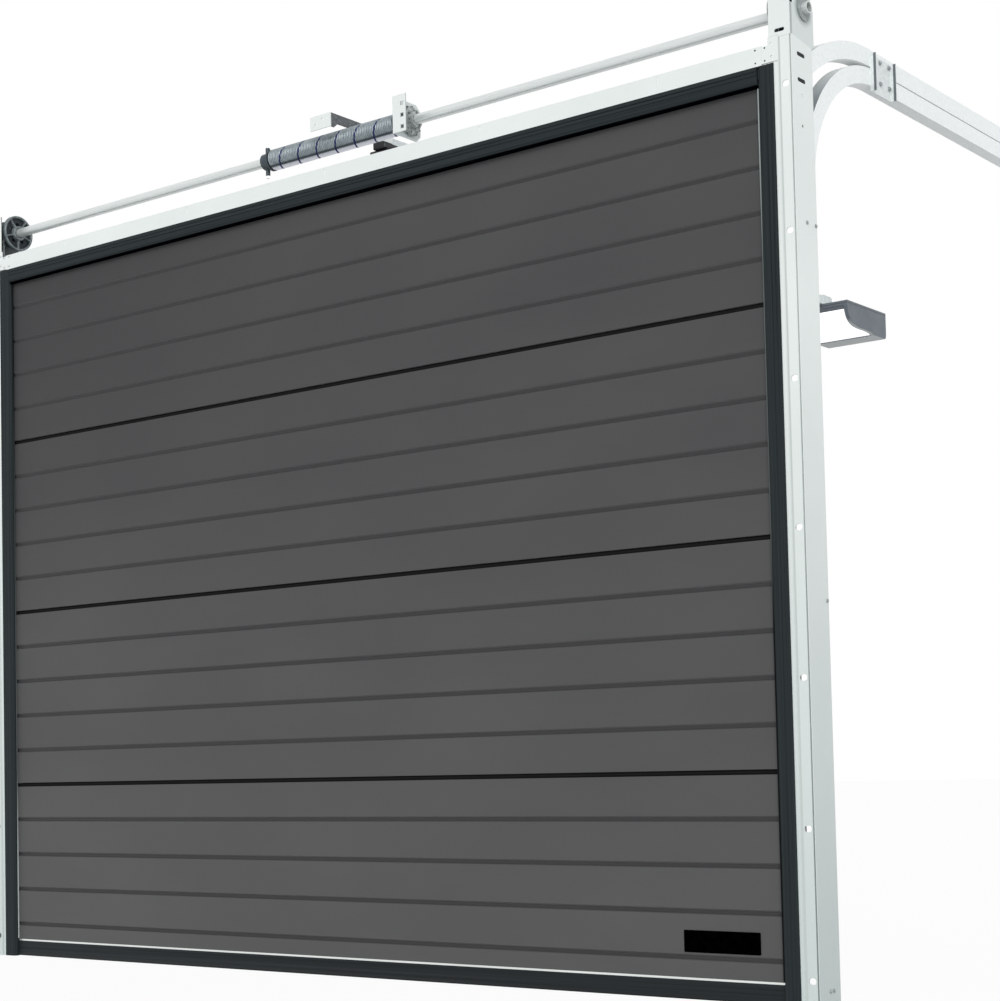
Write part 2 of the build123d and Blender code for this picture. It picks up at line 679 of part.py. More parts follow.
with BuildPart() as bearing_bracket_right:
    with BuildSketch(across(plate_inner)):
        with BuildLine():
            Polyline(
                (bead_back + SEAT, at(side_low)),
                (tab_back, at(side_low)),
                (tab_back, at(above_upper_track(tab_back))),
            )
            ThreePointArc(
                (tab_back, at(above_upper_track(tab_back))),
                ((tab_back + side_back) / 2, at(above_upper_track((tab_back + side_back) / 2))),
                (side_back, at(above_upper_track(side_back))),
            )
            Line((side_back, at(above_upper_track(side_back))), (side_back, at(shaft_height)))
            ThreePointArc(
                (side_back, at(shaft_height)),
                (SHAFT_SETBACK, at(shaft_height + SIDE_PLATE_RADIUS)),
                (SHAFT_SETBACK - SIDE_PLATE_RADIUS, at(shaft_height)),
            )
            Polyline(
                (SHAFT_SETBACK - SIDE_PLATE_RADIUS, at(shaft_height)),
                (0, at(shaft_height)),
                (0, at(stile_top + SEAT)),
                (bead_back + SEAT, at(stile_top + SEAT)),
                (bead_back + SEAT, at(side_low)),
            )
        make_face()
    extrude(amount=BRACKET_SHEET)
    with BuildSketch(facing(0)):
        with BuildLine():
            Polyline(
                (plate_outer, at(stile_top + SEAT)),
                (plate_outer, at(shaft_height)),
                (plate_outer - SIDE_FLANGE_BEVEL, at(side_flange_top)),
                (plate_outer - SIDE_FLANGE_WIDTH, at(side_flange_top)),
                (plate_outer - SIDE_FLANGE_WIDTH, at(corner_plate_top + SEAT)),
                (fold_x + SEAT, at(corner_plate_top + SEAT)),
                (fold_x + SEAT, at(stile_top + SEAT)),
                close=True,
            )
        make_face()
    extrude(amount=-BRACKET_SHEET)
    with BuildSketch(facing(0)):
        for height in (stile_top + SIDE_SLOT_LOW, side_flange_top - SIDE_SLOT_HIGH):
            with Locations((plate_outer - SIDE_FLANGE_WIDTH / 2, at(height))):
                SlotOverall(SIDE_SLOT_LENGTH, SIDE_SLOT_WIDTH)
    extrude(amount=-BRACKET_SHEET, mode=Mode.SUBTRACT)
    with BuildSketch(across(plate_inner)):
        with Locations(web_slots[0]):
            SlotOverall(WEB_SLOT_LENGTH, WEB_SLOT_HEIGHT)
    extrude(amount=BRACKET_SHEET, mode=Mode.SUBTRACT)
    with BuildSketch(across(plate_inner - BEARING_BOSS)):
        with Locations(shaft_axis):
            Circle(SHAFT_RADIUS + BEARING_BOSS_STEP)
    extrude(amount=BEARING_BOSS + BRACKET_SHEET)
    with BuildSketch(across(plate_outer)):
        with Locations(shaft_axis):
            Circle(BEARING_RADIUS)
    extrude(amount=BEARING_FLANGE)
    with BuildSketch(across(plate_inner - BEARING_BOSS)):
        with Locations(shaft_axis):
            Circle(SHAFT_RADIUS + RUNNING)
    extrude(amount=BEARING_BOSS + BRACKET_SHEET + BEARING_FLANGE, mode=Mode.SUBTRACT)
save(bearing_bracket_right, "bearing_bracket_right")

with BuildPart() as bearing_bracket_left:
    add(mirror(bearing_bracket_right.part, about=Plane.YZ, mode=Mode.PRIVATE))
save(bearing_bracket_left, "bearing_bracket_left")

# Counterbalance shaft: a steel tube over the full width
shaft_half = plate_outer + BEARING_FLANGE + SHAFT_OVERHANG
with BuildPart() as shaft:
    with BuildSketch(across(-shaft_half)):
        with Locations(shaft_axis):
            Circle(SHAFT_RADIUS)
            Circle(SHAFT_RADIUS - SHAFT_WALL, mode=Mode.SUBTRACT)
    extrude(amount=2 * shaft_half)
save(shaft, "shaft")

# Cable drums: open castings with a flange, a grooved barrel, a web and a hub
groove_pitch = (BARREL_LENGTH - DRUM_WEB) / CABLE_GROOVES
hub_end = drum_flange_x + BARREL_LENGTH + DRUM_HUB_END
with BuildPart() as drum_right:
    with BuildSketch(Plane(origin=(0, SHAFT_SETBACK, at(shaft_height)), x_dir=(1, 0, 0), z_dir=(0, -1, 0))):
        with BuildLine():
            Polyline(
                (drum_flange_x, SHAFT_RADIUS),
                (hub_end, SHAFT_RADIUS),
                (hub_end, DRUM_HUB_RADIUS),
                (drum_flange_x + DRUM_WEB, DRUM_HUB_RADIUS),
                (drum_flange_x + DRUM_WEB, BARREL_RADIUS - BARREL_WALL),
                (drum_flange_x + BARREL_LENGTH, BARREL_RADIUS - BARREL_WALL),
                (drum_flange_x + BARREL_LENGTH, BARREL_RADIUS),
                (drum_flange_x + DRUM_WEB, BARREL_RADIUS),
                (drum_flange_x + DRUM_WEB, DRUM_RADIUS),
                (drum_flange_x, DRUM_RADIUS),
                close=True,
            )
        make_face()
        groove_x = drum_flange_x + DRUM_WEB + groove_pitch / 2
        with Locations(*[(groove_x + i * groove_pitch, BARREL_RADIUS) for i in range(CABLE_GROOVES)]):
            Circle(CABLE_GROOVE_RADIUS, mode=Mode.SUBTRACT)
    revolve(axis=Axis((0, SHAFT_SETBACK, at(shaft_height)), (1, 0, 0)))
    with BuildSketch(Plane(origin=(drum_flange_x, *shaft_axis), x_dir=(0, 1, 0), z_dir=(1, 0, 0))):
        with PolarLocations((DRUM_HUB_RADIUS + BARREL_RADIUS - BARREL_WALL) / 2, DRUM_HOLES, start_angle=90):
            Circle(DRUM_HOLE_RADIUS)
    extrude(amount=DRUM_WEB, mode=Mode.SUBTRACT)
save(drum_right, "drum_right")

with BuildPart() as drum_left:
    add(mirror(drum_right.part, about=Plane.YZ, mode=Mode.PRIVATE))
save(drum_left, "drum_left")

# Winding cone: bolted to the shaft, its spigot inside the spring
spigot_radius = SPRING_RADIUS - SPRING_WIRE - 2 * SEAT
with BuildPart() as winding_cone:
    with BuildSketch(Plane(origin=(0, SHAFT_SETBACK, at(shaft_height)), x_dir=(1, 0, 0), z_dir=(0, -1, 0))):
        with BuildLine():
            Polyline(
                (SPRING_LEFT - CONE_LENGTH, SHAFT_RADIUS),
                (SPRING_LEFT + CONE_SPIGOT, SHAFT_RADIUS),
                (SPRING_LEFT + CONE_SPIGOT, spigot_radius - CONE_TAPER),
                (SPRING_LEFT - SEAT, spigot_radius),
                (SPRING_LEFT - SEAT, SPRING_RADIUS),
                (SPRING_LEFT - SEAT - CONE_COLLAR, SPRING_RADIUS),
                (SPRING_LEFT - SEAT - CONE_COLLAR * 1.5, SPRING_RADIUS - CONE_NECK_STEP),
                (SPRING_LEFT - CONE_LENGTH, SPRING_RADIUS - CONE_NECK_STEP),
                close=True,
            )
        make_face()
    revolve(axis=Axis((0, SHAFT_SETBACK, at(shaft_height)), (1, 0, 0)))
    cone_middle = SPRING_LEFT - CONE_LENGTH / 2 - CONE_COLLAR
    with BuildSketch(Plane(origin=(0, SHAFT_SETBACK, at(shaft_height)))):
        with Locations((cone_middle, 0)):
            Circle(CONE_BOSS_RADIUS)
    extrude(amount=SPRING_RADIUS + CONE_BOSS_REACH)
    with BuildSketch(Plane(origin=(0, SHAFT_SETBACK, at(shaft_height)))):
        with Locations((cone_middle, 0)):
            Circle(CONE_BOSS_RADIUS)
    extrude(amount=-SPRING_RADIUS - CONE_BOSS_REACH)
    with BuildSketch(across(SPRING_LEFT - CONE_LENGTH)):
        with Locations(shaft_axis):
            Circle(SHAFT_RADIUS)
    extrude(amount=CONE_LENGTH + CONE_SPIGOT, mode=Mode.SUBTRACT)
save(winding_cone, "winding_cone")

# Torsion spring, closed coil on coil, so its outer form is a tube
with BuildPart() as spring:
    with BuildSketch(across(SPRING_LEFT)):
        with Locations(shaft_axis):
            Circle(SPRING_RADIUS)
            Circle(SPRING_RADIUS - SPRING_WIRE, mode=Mode.SUBTRACT)
    extrude(amount=SPRING_RIGHT - SPRING_LEFT)
save(spring, "spring")

# Fixed cone: holds the other end of the spring and bolts to the spring bracket
cone_bore = SHAFT_RADIUS + CONE_CLEARANCE
with BuildPart() as fixed_cone:
    with BuildSketch(Plane(origin=(0, SHAFT_SETBACK, at(shaft_height)), x_dir=(1, 0, 0), z_dir=(0, -1, 0))):
        with BuildLine():
            Polyline(
                (SPRING_RIGHT - CONE_SPIGOT, cone_bore),
                (BRACKET_WEB_X, cone_bore),
                (BRACKET_WEB_X, SPRING_RADIUS + CONE_FLANGE_STEP),
                (BRACKET_WEB_X - CONE_FLANGE, SPRING_RADIUS + CONE_FLANGE_STEP),
                (BRACKET_WEB_X - 2 * CONE_FLANGE, SPRING_RADIUS - CONE_NECK_STEP),
                (SPRING_RIGHT + SEAT + CONE_COLLAR, SPRING_RADIUS - CONE_NECK_STEP),
                (SPRING_RIGHT + SEAT + CONE_COLLAR, SPRING_RADIUS),
                (SPRING_RIGHT + SEAT, SPRING_RADIUS),
                (SPRING_RIGHT + SEAT, spigot_radius),
                (SPRING_RIGHT - CONE_SPIGOT, spigot_radius - CONE_TAPER),
                close=True,
            )
        make_face()
    revolve(axis=Axis((0, SHAFT_SETBACK, at(shaft_height)), (1, 0, 0)))
save(fixed_cone, "fixed_cone")

# Spring bracket: wall flange with square holes, a web, and the centre bearing
web_right = BRACKET_WEB_X + BRACKET_SHEET
bracket_back = SHAFT_SETBACK + BRACKET_DEPTH
with BuildPart() as spring_bracket:
    with BuildSketch(across(BRACKET_WEB_X)):
        with BuildLine():
            Polyline(
                (0, at(bracket_low)),
                (bracket_back - BRACKET_BEVEL, at(bracket_low)),
                (bracket_back, at(bracket_low + BRACKET_BEVEL)),
                (bracket_back, at(bracket_high - BRACKET_BEVEL)),
                (bracket_back - BRACKET_BEVEL, at(bracket_high)),
                (0, at(bracket_high)),
                close=True,
            )
        make_face()
        with Locations(shaft_axis):
            Circle(SHAFT_RADIUS + RUNNING, mode=Mode.SUBTRACT)
    extrude(amount=BRACKET_SHEET)
    with BuildSketch(facing(0)):
        with Locations((BRACKET_WEB_X + BRACKET_FLANGE / 2, at((bracket_low + bracket_high) / 2))):
            Rectangle(BRACKET_FLANGE, bracket_high - bracket_low)
        with Locations((BRACKET_WEB_X + BRACKET_HOLE_X, at(shaft_height - BRACKET_HOLE_DROP))):
            with GridLocations(1, BRACKET_HOLE_PITCH, 1, BRACKET_HOLES):
                Rectangle(BRACKET_HOLE, BRACKET_HOLE, mode=Mode.SUBTRACT)
    extrude(amount=-BRACKET_SHEET)
save(spring_bracket, "spring_bracket")

# Ratchet wheel of the spring break device, keyed to the shaft
ratchet_x = web_right + RATCHET_GAP
with BuildPart() as ratchet_wheel:
    with BuildSketch(Plane(origin=(ratchet_x, *shaft_axis), x_dir=(0, 1, 0), z_dir=(1, 0, 0))):
        with BuildLine():
            teeth = []
            for i in range(RATCHET_TEETH):
                start = radians(i * 360 / RATCHET_TEETH)
                end = radians((i + 1) * 360 / RATCHET_TEETH)
                root = RATCHET_RADIUS - RATCHET_TOOTH
                teeth.append((root * cos(start), root * sin(start)))
                teeth.append((RATCHET_RADIUS * cos(end), RATCHET_RADIUS * sin(end)))
            Polyline(*teeth, close=True)
        make_face()
        Circle(SHAFT_RADIUS, mode=Mode.SUBTRACT)
    extrude(amount=RATCHET_THICKNESS)
    with BuildSketch(across(ratchet_x + RATCHET_THICKNESS)):
        with Locations(shaft_axis):
            Circle(SHAFT_RADIUS + RATCHET_HUB_STEP)
            Circle(SHAFT_RADIUS, mode=Mode.SUBTRACT)
    extrude(amount=RATCHET_HUB)
save(ratchet_wheel, "ratchet_wheel")

# Lift cables: taut from the front of each drum to the anchor on the bottom bracket
anchor_y = LEAF_SETBACK + SECTION_THICKNESS / 2
with BuildPart() as lift_cables:
    with BuildLine() as cable_path:
        Line(
            (cable_x, SHAFT_SETBACK - cable_reach, at(shaft_height)),
            (cable_x, anchor_y, at(ANCHOR_HEIGHT + ANCHOR_RADIUS + SEAT)),
        )
    with BuildSketch(Plane(origin=cable_path.line @ 0, z_dir=cable_path.line % 0)):
        Circle(CABLE_RADIUS)
    sweep(path=cable_path.line)
    mirror(about=Plane.YZ)
save(lift_cables, "lift_cables")

# Rollers with their axles: four each side in the upright track, one in the upper track
top_roller_y = TOP_ROLLER_SETBACK
top_roller_z = upper_bend_z + sqrt(upper_mid_radius ** 2 - (UPPER_BEND_START - top_roller_y) ** 2)
roller_places = [(track_mid, BOTTOM_ROLLER)] + [(track_mid, seam) for seam in seams]
roller_places.append((top_roller_y, top_roller_z))
roller_x = track_inner + 2 * SHEET
axle_start = leaf_half - CAP_WRAP + AXLE_RADIUS
with BuildPart() as rollers:
    for y, z in roller_places:
        with BuildSketch(across(roller_x)):
            with Locations((y, at(z))):
                Circle(ROLLER_RADIUS)
        extrude(amount=ROLLER_WIDTH)
        with BuildSketch(across(axle_start)):
            with Locations((y, at(z))):
                Circle(AXLE_RADIUS)
        extrude(amount=roller_x + ROLLER_WIDTH + SHEET - axle_start)
    mirror(about=Plane.YZ)
save(rollers, "rollers")


# Hinge at a seam: a plate on each section, rising to a barrel for the axle
def hinge_outline(seam, base, barrel_y):
    top = barrel_y + HINGE_HUMP
    foot = base + HINGE_PLATE
    rise = [(2 * HINGE_HUMP, foot), (HINGE_HUMP, top), (-HINGE_HUMP, top), (-2 * HINGE_HUMP, foot)]
    points = [(base, at(seam - HINGE_REACH)), (base, at(seam + HINGE_REACH))]
    points.append((base + HINGE_PLATE, at(seam + HINGE_REACH)))
    points += [(y, at(seam + z)) for z, y in rise]
    points.append((base + HINGE_PLATE, at(seam - HINGE_REACH)))
    return points


with BuildPart() as side_hinges:
    for seam in seams:
        with BuildSketch(across(leaf_half - HINGE_WIDTH)):
            with BuildLine():
                Polyline(*hinge_outline(seam, cap_back, track_mid), close=True)
            make_face()
            with Locations((track_mid, at(seam))):
                Circle(AXLE_RADIUS + RUNNING, mode=Mode.SUBTRACT)
        extrude(amount=HINGE_WIDTH - HINGE_INSET)
    mirror(about=Plane.YZ)
save(side_hinges, "side_hinges")

with BuildPart() as middle_hinges:
    for seam in seams:
        with BuildSketch(across(-HINGE_WIDTH / 2)):
            with BuildLine():
                Polyline(*hinge_outline(seam, leaf_back, leaf_back + MIDDLE_BARREL), close=True)
            make_face()
        extrude(amount=HINGE_WIDTH)
        with BuildSketch(across(-HINGE_WIDTH / 2 - BARREL_END)):
            with Locations((leaf_back + MIDDLE_BARREL, at(seam))):
                Circle(AXLE_RADIUS + RUNNING)
        extrude(amount=HINGE_WIDTH + 2 * BARREL_END)
save(middle_hinges, "middle_hinges")

# Bottom brackets: roller holder on the back, side cheek with the cable anchor pin
foot_low = LEAF_BOTTOM + FOOT_RISE
foot_high = BOTTOM_ROLLER + FOOT_ABOVE_ROLLER
cheek_x = leaf_half + CAP_SHEET
with BuildPart() as bottom_brackets:
    with BuildSketch(Plane.XY.offset(at(foot_low))):
        with BuildLine():
            Polyline(
                (cheek_x, LEAF_SETBACK + FOOT_CHEEK_INSET),
                (cheek_x + HINGE_PLATE, LEAF_SETBACK + FOOT_CHEEK_INSET),
                (cheek_x + HINGE_PLATE, cap_back + HINGE_PLATE),
                (leaf_half - HINGE_WIDTH, cap_back + HINGE_PLATE),
                (leaf_half - HINGE_WIDTH, cap_back),
                (cheek_x, cap_back),
                close=True,
            )
        make_face()
    extrude(amount=foot_high - foot_low)
    with BuildSketch(across(leaf_half - HINGE_WIDTH)):
        with Locations(((track_mid + cap_back + HINGE_PLATE) / 2, at(BOTTOM_ROLLER))):
            Rectangle(track_mid - cap_back - HINGE_PLATE, 2 * HOLDER_RADIUS)
        with Locations((track_mid, at(BOTTOM_ROLLER))):
            Circle(HOLDER_RADIUS)
            Circle(AXLE_RADIUS + RUNNING, mode=Mode.SUBTRACT)
    extrude(amount=HINGE_WIDTH - HINGE_INSET)
    with BuildSketch(across(cheek_x + HINGE_PLATE)):
        with Locations((anchor_y, at(ANCHOR_HEIGHT))):
            Circle(ANCHOR_RADIUS)
    extrude(amount=cable_x + ANCHOR_RADIUS - cheek_x - HINGE_PLATE)
    with BuildSketch(across(leaf_half - HINGE_WIDTH)):
        with Locations((track_mid, at(BOTTOM_ROLLER))):
            Circle(AXLE_RADIUS + RUNNING)
    extrude(amount=HINGE_WIDTH, mode=Mode.SUBTRACT)
    mirror(about=Plane.YZ)
save(bottom_brackets, "bottom_brackets")

# Top roller carriers: a plate on the top section and an arm up to the top roller
with BuildPart() as top_carriers:
    with BuildSketch(across(leaf_half - HINGE_WIDTH)):
        with BuildLine():
            Polyline(
                (cap_back, at(leaf_top - CARRIER_LOW)),
                (cap_back + HINGE_PLATE, at(leaf_top - CARRIER_LOW)),
                (cap_back + HINGE_PLATE, at(leaf_top - CARRIER_KNEE)),
                (top_roller_y + CARRIER_EAR, at(top_roller_z - CARRIER_EAR_DROP)),
                (top_roller_y + CARRIER_EAR, at(top_roller_z + CARRIER_EAR)),
                (top_roller_y - CARRIER_EAR, at(top_roller_z + CARRIER_EAR)),
                (top_roller_y - CARRIER_EAR, at(leaf_top - CARRIER_BEND)),
                (cap_back, at(leaf_top - CARRIER_TOP)),
                close=True,
            )
        make_face()
        with Locations((top_roller_y, at(top_roller_z))):
            Circle(AXLE_RADIUS + RUNNING, mode=Mode.SUBTRACT)
    extrude(amount=HINGE_WIDTH - HINGE_INSET)
    mirror(about=Plane.YZ)
save(top_carriers, "top_carriers")

# Opener: header bracket on the wall, with an arm above the spring
arm_low = shaft_height + SPRING_RADIUS + HEADER_ARM_GAP
header_holes = [(HEADER_LEFT + HEADER_HEIGHT / 2, at(header_low + HEADER_HEIGHT / 3))]
header_holes.append((header_holes[0][0] + HEADER_HEIGHT * 2 / 3, at(header_low + HEADER_HEIGHT * 2 / 3)))
with BuildPart() as header_bracket:
    with BuildSketch(facing(0)):
        with Locations(((HEADER_LEFT + HEADER_RIGHT) / 2, at((header_low + header_high) / 2))):
            Rectangle(HEADER_RIGHT - HEADER_LEFT, header_high - header_low)
        with Locations(*header_holes):
            Circle(HEADER_HOLE_RADIUS, mode=Mode.SUBTRACT)
    extrude(amount=-BRACKET_SHEET)
    with BuildSketch(across(HEADER_RIGHT - BRACKET_SHEET)):
        with BuildLine():
            Polyline(
                (0, at(header_low)),
                (HEADER_FOOT, at(header_low)),
                (2 * HEADER_FOOT, at(arm_low)),
                (RAIL_START + HEADER_ARM_LAP, at(arm_low)),
                (RAIL_START + HEADER_ARM_LAP, at(header_high)),
                (0, at(header_high)),
                close=True,
            )
        make_face()
    extrude(amount=BRACKET_SHEET)
save(header_bracket, "header_bracket")

# Opener rail: C channel with its mouth down, from the header arm to the motor
header_inner = HEADER_RIGHT - BRACKET_SHEET
rail_x = header_inner - RAIL_WIDTH / 2
with BuildPart() as opener_rail:
    with BuildSketch(Plane(origin=(rail_x, RAIL_START, at(rail_bottom + RAIL_HEIGHT / 2)),
                           x_dir=(1, 0, 0), z_dir=(0, 1, 0))):
        Rectangle(RAIL_WIDTH, RAIL_HEIGHT)
        Rectangle(RAIL_WIDTH - 2 * RAIL_WALL, RAIL_HEIGHT - 2 * RAIL_WALL, mode=Mode.SUBTRACT)
        with Locations((0, RAIL_HEIGHT / 2)):
            Rectangle(RAIL_WIDTH - 2 * RAIL_WALL - 2 * RAIL_MOUTH_LIP, 3 * RAIL_WALL, mode=Mode.SUBTRACT)
    extrude(amount=MOTOR_START + RAIL_ON_MOTOR - RAIL_START)
save(opener_rail, "opener_rail")

# Trolley under the rail, with two lugs that hold the pin of the door arm
trolley_low = rail_bottom - TROLLEY_HEIGHT
trolley_middle = TROLLEY_START + TROLLEY_LENGTH / 2
trolley_pin = (trolley_middle, trolley_low - ARM_LUG_REACH)
lug_x = ARM_THICKNESS / 2 + SEAT
with BuildPart() as trolley:
    with BuildSketch(Plane(origin=(rail_x, TROLLEY_START, at(rail_bottom - TROLLEY_HEIGHT / 2 - SEAT)),
                           x_dir=(1, 0, 0), z_dir=(0, 1, 0))):
        Rectangle(TROLLEY_WIDTH, TROLLEY_HEIGHT)
    extrude(amount=TROLLEY_LENGTH)
    fillet(trolley.edges().filter_by(Axis.X), radius=TROLLEY_ROUND)
    with BuildSketch(Plane(origin=(rail_x, trolley_middle, at(rail_bottom - TROLLEY_KEY_LOW)))):
        Rectangle(TROLLEY_KEY_WIDTH, TROLLEY_KEY_LENGTH)
    extrude(amount=TROLLEY_KEY_RISE)
    for x in (rail_x - lug_x - HINGE_PLATE, rail_x + lug_x):
        with BuildSketch(across(x)):
            with Locations((trolley_pin[0], at((trolley_low + TROLLEY_ROUND + trolley_pin[1]) / 2))):
                Rectangle(2 * ARM_LUG_RADIUS, trolley_low + TROLLEY_ROUND - trolley_pin[1])
            with Locations((trolley_pin[0], at(trolley_pin[1]))):
                Circle(ARM_LUG_RADIUS)
                Circle(ARM_PIN_RADIUS + RUNNING, mode=Mode.SUBTRACT)
        extrude(amount=HINGE_PLATE)
save(trolley, "trolley")

door_pin = (leaf_back + DOOR_PIN_SETBACK, leaf_top - DOOR_PIN_DROP)
pin_start = rail_x - lug_x - HINGE_PLATE - ARM_PIN_END
with BuildPart() as door_arm:
    with BuildSketch(across(rail_x - ARM_THICKNESS / 2)):
        with BuildLine(mode=Mode.PRIVATE):
            arm_line = Line((trolley_pin[0], at(trolley_pin[1])), (door_pin[0], at(door_pin[1])))
        arm_tilt = degrees(acos((door_pin[0] - trolley_pin[0]) / arm_line.length))
        with Locations(arm_line @ 0.5):
            SlotOverall(arm_line.length + ARM_WIDTH, ARM_WIDTH, rotation=-arm_tilt)
    extrude(amount=ARM_THICKNESS)
    with BuildSketch(across(pin_start)):
        with Locations((trolley_pin[0], at(trolley_pin[1])), (door_pin[0], at(door_pin[1]))):
            Circle(ARM_PIN_RADIUS)
    extrude(amount=2 * (rail_x - pin_start))
save(door_arm, "door_arm")

# Arm bracket: a plate on the back of the top section with two lugs for the arm
with BuildPart() as arm_bracket:
    with BuildSketch(facing(leaf_back)):
        with Locations((rail_x, at(door_pin[1]))):
            Rectangle(ARM_PLATE_WIDTH, ARM_PLATE_HEIGHT)
    extrude(amount=-HINGE_PLATE)
    for x in (rail_x - lug_x - HINGE_PLATE, rail_x + lug_x):
        with BuildSketch(across(x)):
            with Locations(((leaf_back + door_pin[0]) / 2, at(door_pin[1]))):
                Rectangle(door_pin[0] - leaf_back, 2 * ARM_LUG_RADIUS)
            with Locations((door_pin[0], at(door_pin[1]))):
                Circle(ARM_LUG_RADIUS)
                Circle(ARM_PIN_RADIUS + RUNNING, mode=Mode.SUBTRACT)
        extrude(amount=HINGE_PLATE)
save(arm_bracket, "arm_bracket")

# Motor head hung under the end of the rail: two cheeks with a rounded belly, a fascia
# and a back between them, and the lamp cover that fills the space
motor_x = rail_x - MOTOR_WIDTH / 2
motor_end = MOTOR_START + MOTOR_LENGTH
motor_high = rail_bottom - SEAT
motor_low = motor_high - MOTOR_HEIGHT
nose_low = motor_high - MOTOR_NOSE
lamp_back = motor_end - MOTOR_BACK
fascia_low = motor_high - MOTOR_FASCIA


def belly(inset):
    # the curved underside from the nose to the back, moved inwards by the inset
    points = []
    for along, down in MOTOR_BELLY:
        y = MOTOR_START + inset + along * (lamp_back - MOTOR_START - inset)
        points.append((y, at(nose_low + inset - down * (nose_low - motor_low))))
    return points


with BuildPart() as motor_head:
    with BuildSketch(across(motor_x)):
        with BuildLine():
            Polyline(
                (MOTOR_START, at(nose_low)),
                (MOTOR_START, at(motor_high)),
                (motor_end, at(motor_high)),
                (motor_end, at(motor_low + MOTOR_CORNER)),
                (motor_end - MOTOR_CORNER / 2, at(motor_low)),
                (lamp_back, at(motor_low)),
            )
            Spline(*belly(0))
        make_face()
    extrude(amount=MOTOR_WIDTH)
    with BuildSketch(across(motor_x + MOTOR_CHEEK)):
        with BuildLine():
            Polyline(
                (MOTOR_START, at(fascia_low)),
                (lamp_back, at(fascia_low)),
                (lamp_back, at(motor_low)),
                (MOTOR_START, at(motor_low)),
                close=True,
            )
        make_face()
    extrude(amount=MOTOR_WIDTH - 2 * MOTOR_CHEEK, mode=Mode.SUBTRACT)
save(motor_head, "motor_head")

with BuildPart() as motor_lamp:
    with BuildSketch(across(motor_x + MOTOR_CHEEK + SEAT)):
        with BuildLine():
            Spline(*belly(LAMP_INSET))
            Polyline(
                (lamp_back, at(motor_low + LAMP_INSET)),
                (lamp_back, at(fascia_low)),
                (MOTOR_START + LAMP_INSET, at(fascia_low)),
                (MOTOR_START + LAMP_INSET, at(nose_low + LAMP_INSET)),
            )
        make_face()
    extrude(amount=MOTOR_WIDTH - 2 * MOTOR_CHEEK - 2 * SEAT)
save(motor_lamp, "motor_lamp")

# Rail clip: a folded strap over the rail, its ears screwed down to the motor head
clip_width = RAIL_WIDTH + 2 * CLIP_SHEET
with BuildPart() as rail_clip:
    with BuildSketch(Plane(origin=(rail_x, MOTOR_START, at(rail_bottom)), x_dir=(-1, 0, 0), z_dir=(0, 1, 0))):
        with Locations((0, (RAIL_HEIGHT + CLIP_SHEET) / 2)):
            Rectangle(clip_width, RAIL_HEIGHT + CLIP_SHEET)
        with Locations((0, CLIP_SHEET / 2)):
            Rectangle(clip_width + 2 * CLIP_EAR, CLIP_SHEET)
        with Locations((0, RAIL_HEIGHT / 2)):
            Rectangle(RAIL_WIDTH, RAIL_HEIGHT, mode=Mode.SUBTRACT)
    extrude(amount=CLIP_LENGTH)
save(rail_clip, "rail_clip")
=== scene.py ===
import json
from math import cos, pi, radians, sin

import bmesh
import bpy
from mathutils import Matrix, Vector


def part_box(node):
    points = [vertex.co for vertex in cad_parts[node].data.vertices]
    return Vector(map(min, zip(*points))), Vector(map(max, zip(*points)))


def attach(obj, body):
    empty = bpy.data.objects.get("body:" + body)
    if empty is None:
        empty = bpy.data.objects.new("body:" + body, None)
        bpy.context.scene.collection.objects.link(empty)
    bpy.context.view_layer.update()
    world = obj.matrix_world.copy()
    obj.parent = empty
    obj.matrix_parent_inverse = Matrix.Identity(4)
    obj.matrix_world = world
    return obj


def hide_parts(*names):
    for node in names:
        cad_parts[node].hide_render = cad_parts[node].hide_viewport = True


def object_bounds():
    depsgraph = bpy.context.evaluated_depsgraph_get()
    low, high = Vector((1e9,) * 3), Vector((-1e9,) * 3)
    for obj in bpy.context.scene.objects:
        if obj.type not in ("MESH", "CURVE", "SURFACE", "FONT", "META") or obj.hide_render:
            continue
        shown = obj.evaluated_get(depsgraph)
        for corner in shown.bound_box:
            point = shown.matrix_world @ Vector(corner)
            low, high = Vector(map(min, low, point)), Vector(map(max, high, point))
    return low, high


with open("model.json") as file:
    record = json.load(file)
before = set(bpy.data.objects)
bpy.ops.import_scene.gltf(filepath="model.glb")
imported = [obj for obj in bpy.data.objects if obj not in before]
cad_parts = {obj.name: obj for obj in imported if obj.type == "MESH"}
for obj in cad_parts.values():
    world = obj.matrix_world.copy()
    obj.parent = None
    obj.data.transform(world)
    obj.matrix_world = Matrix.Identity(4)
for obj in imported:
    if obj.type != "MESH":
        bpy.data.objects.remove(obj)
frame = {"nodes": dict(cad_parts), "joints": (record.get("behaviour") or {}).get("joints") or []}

model_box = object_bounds()
nodes = frame["nodes"]


# Stiles, head rail and corner plates: 2 mm galvanised sheet folded in a press brake and
# powder coated white. The folds are sharp, the face has the faint peel of baked powder.
def paint(red, green, blue):
    # a colour read as 0 to 255 on a paint card, as the shader wants it
    linear = []
    for part in (red, green, blue):
        share = part / 255
        linear.append(share / 12.92 if share <= 0.04045 else ((share + 0.055) / 1.055) ** 2.4)
    return (*linear, 1.0)


def new_finish(name, roughness, metallic=0.0, specular=0.5):
    finish = bpy.data.materials.new(name)
    finish.use_nodes = True
    shader = finish.node_tree.nodes["Principled BSDF"]
    shader.inputs["Roughness"].default_value = roughness
    shader.inputs["Metallic"].default_value = metallic
    shader.inputs["Specular IOR Level"].default_value = specular
    return finish, finish.node_tree, shader


def feed(tree, socket, value):
    # a socket takes either another node's output or a plain value
    if isinstance(value, bpy.types.NodeSocket):
        tree.links.new(value, socket)
    else:
        socket.default_value = value


def add_node(tree, kind, **inputs):
    made = tree.nodes.new("ShaderNode" + kind)
    for name, value in inputs.items():
        feed(tree, made.inputs[name.replace("_", " ")], value)
    return made


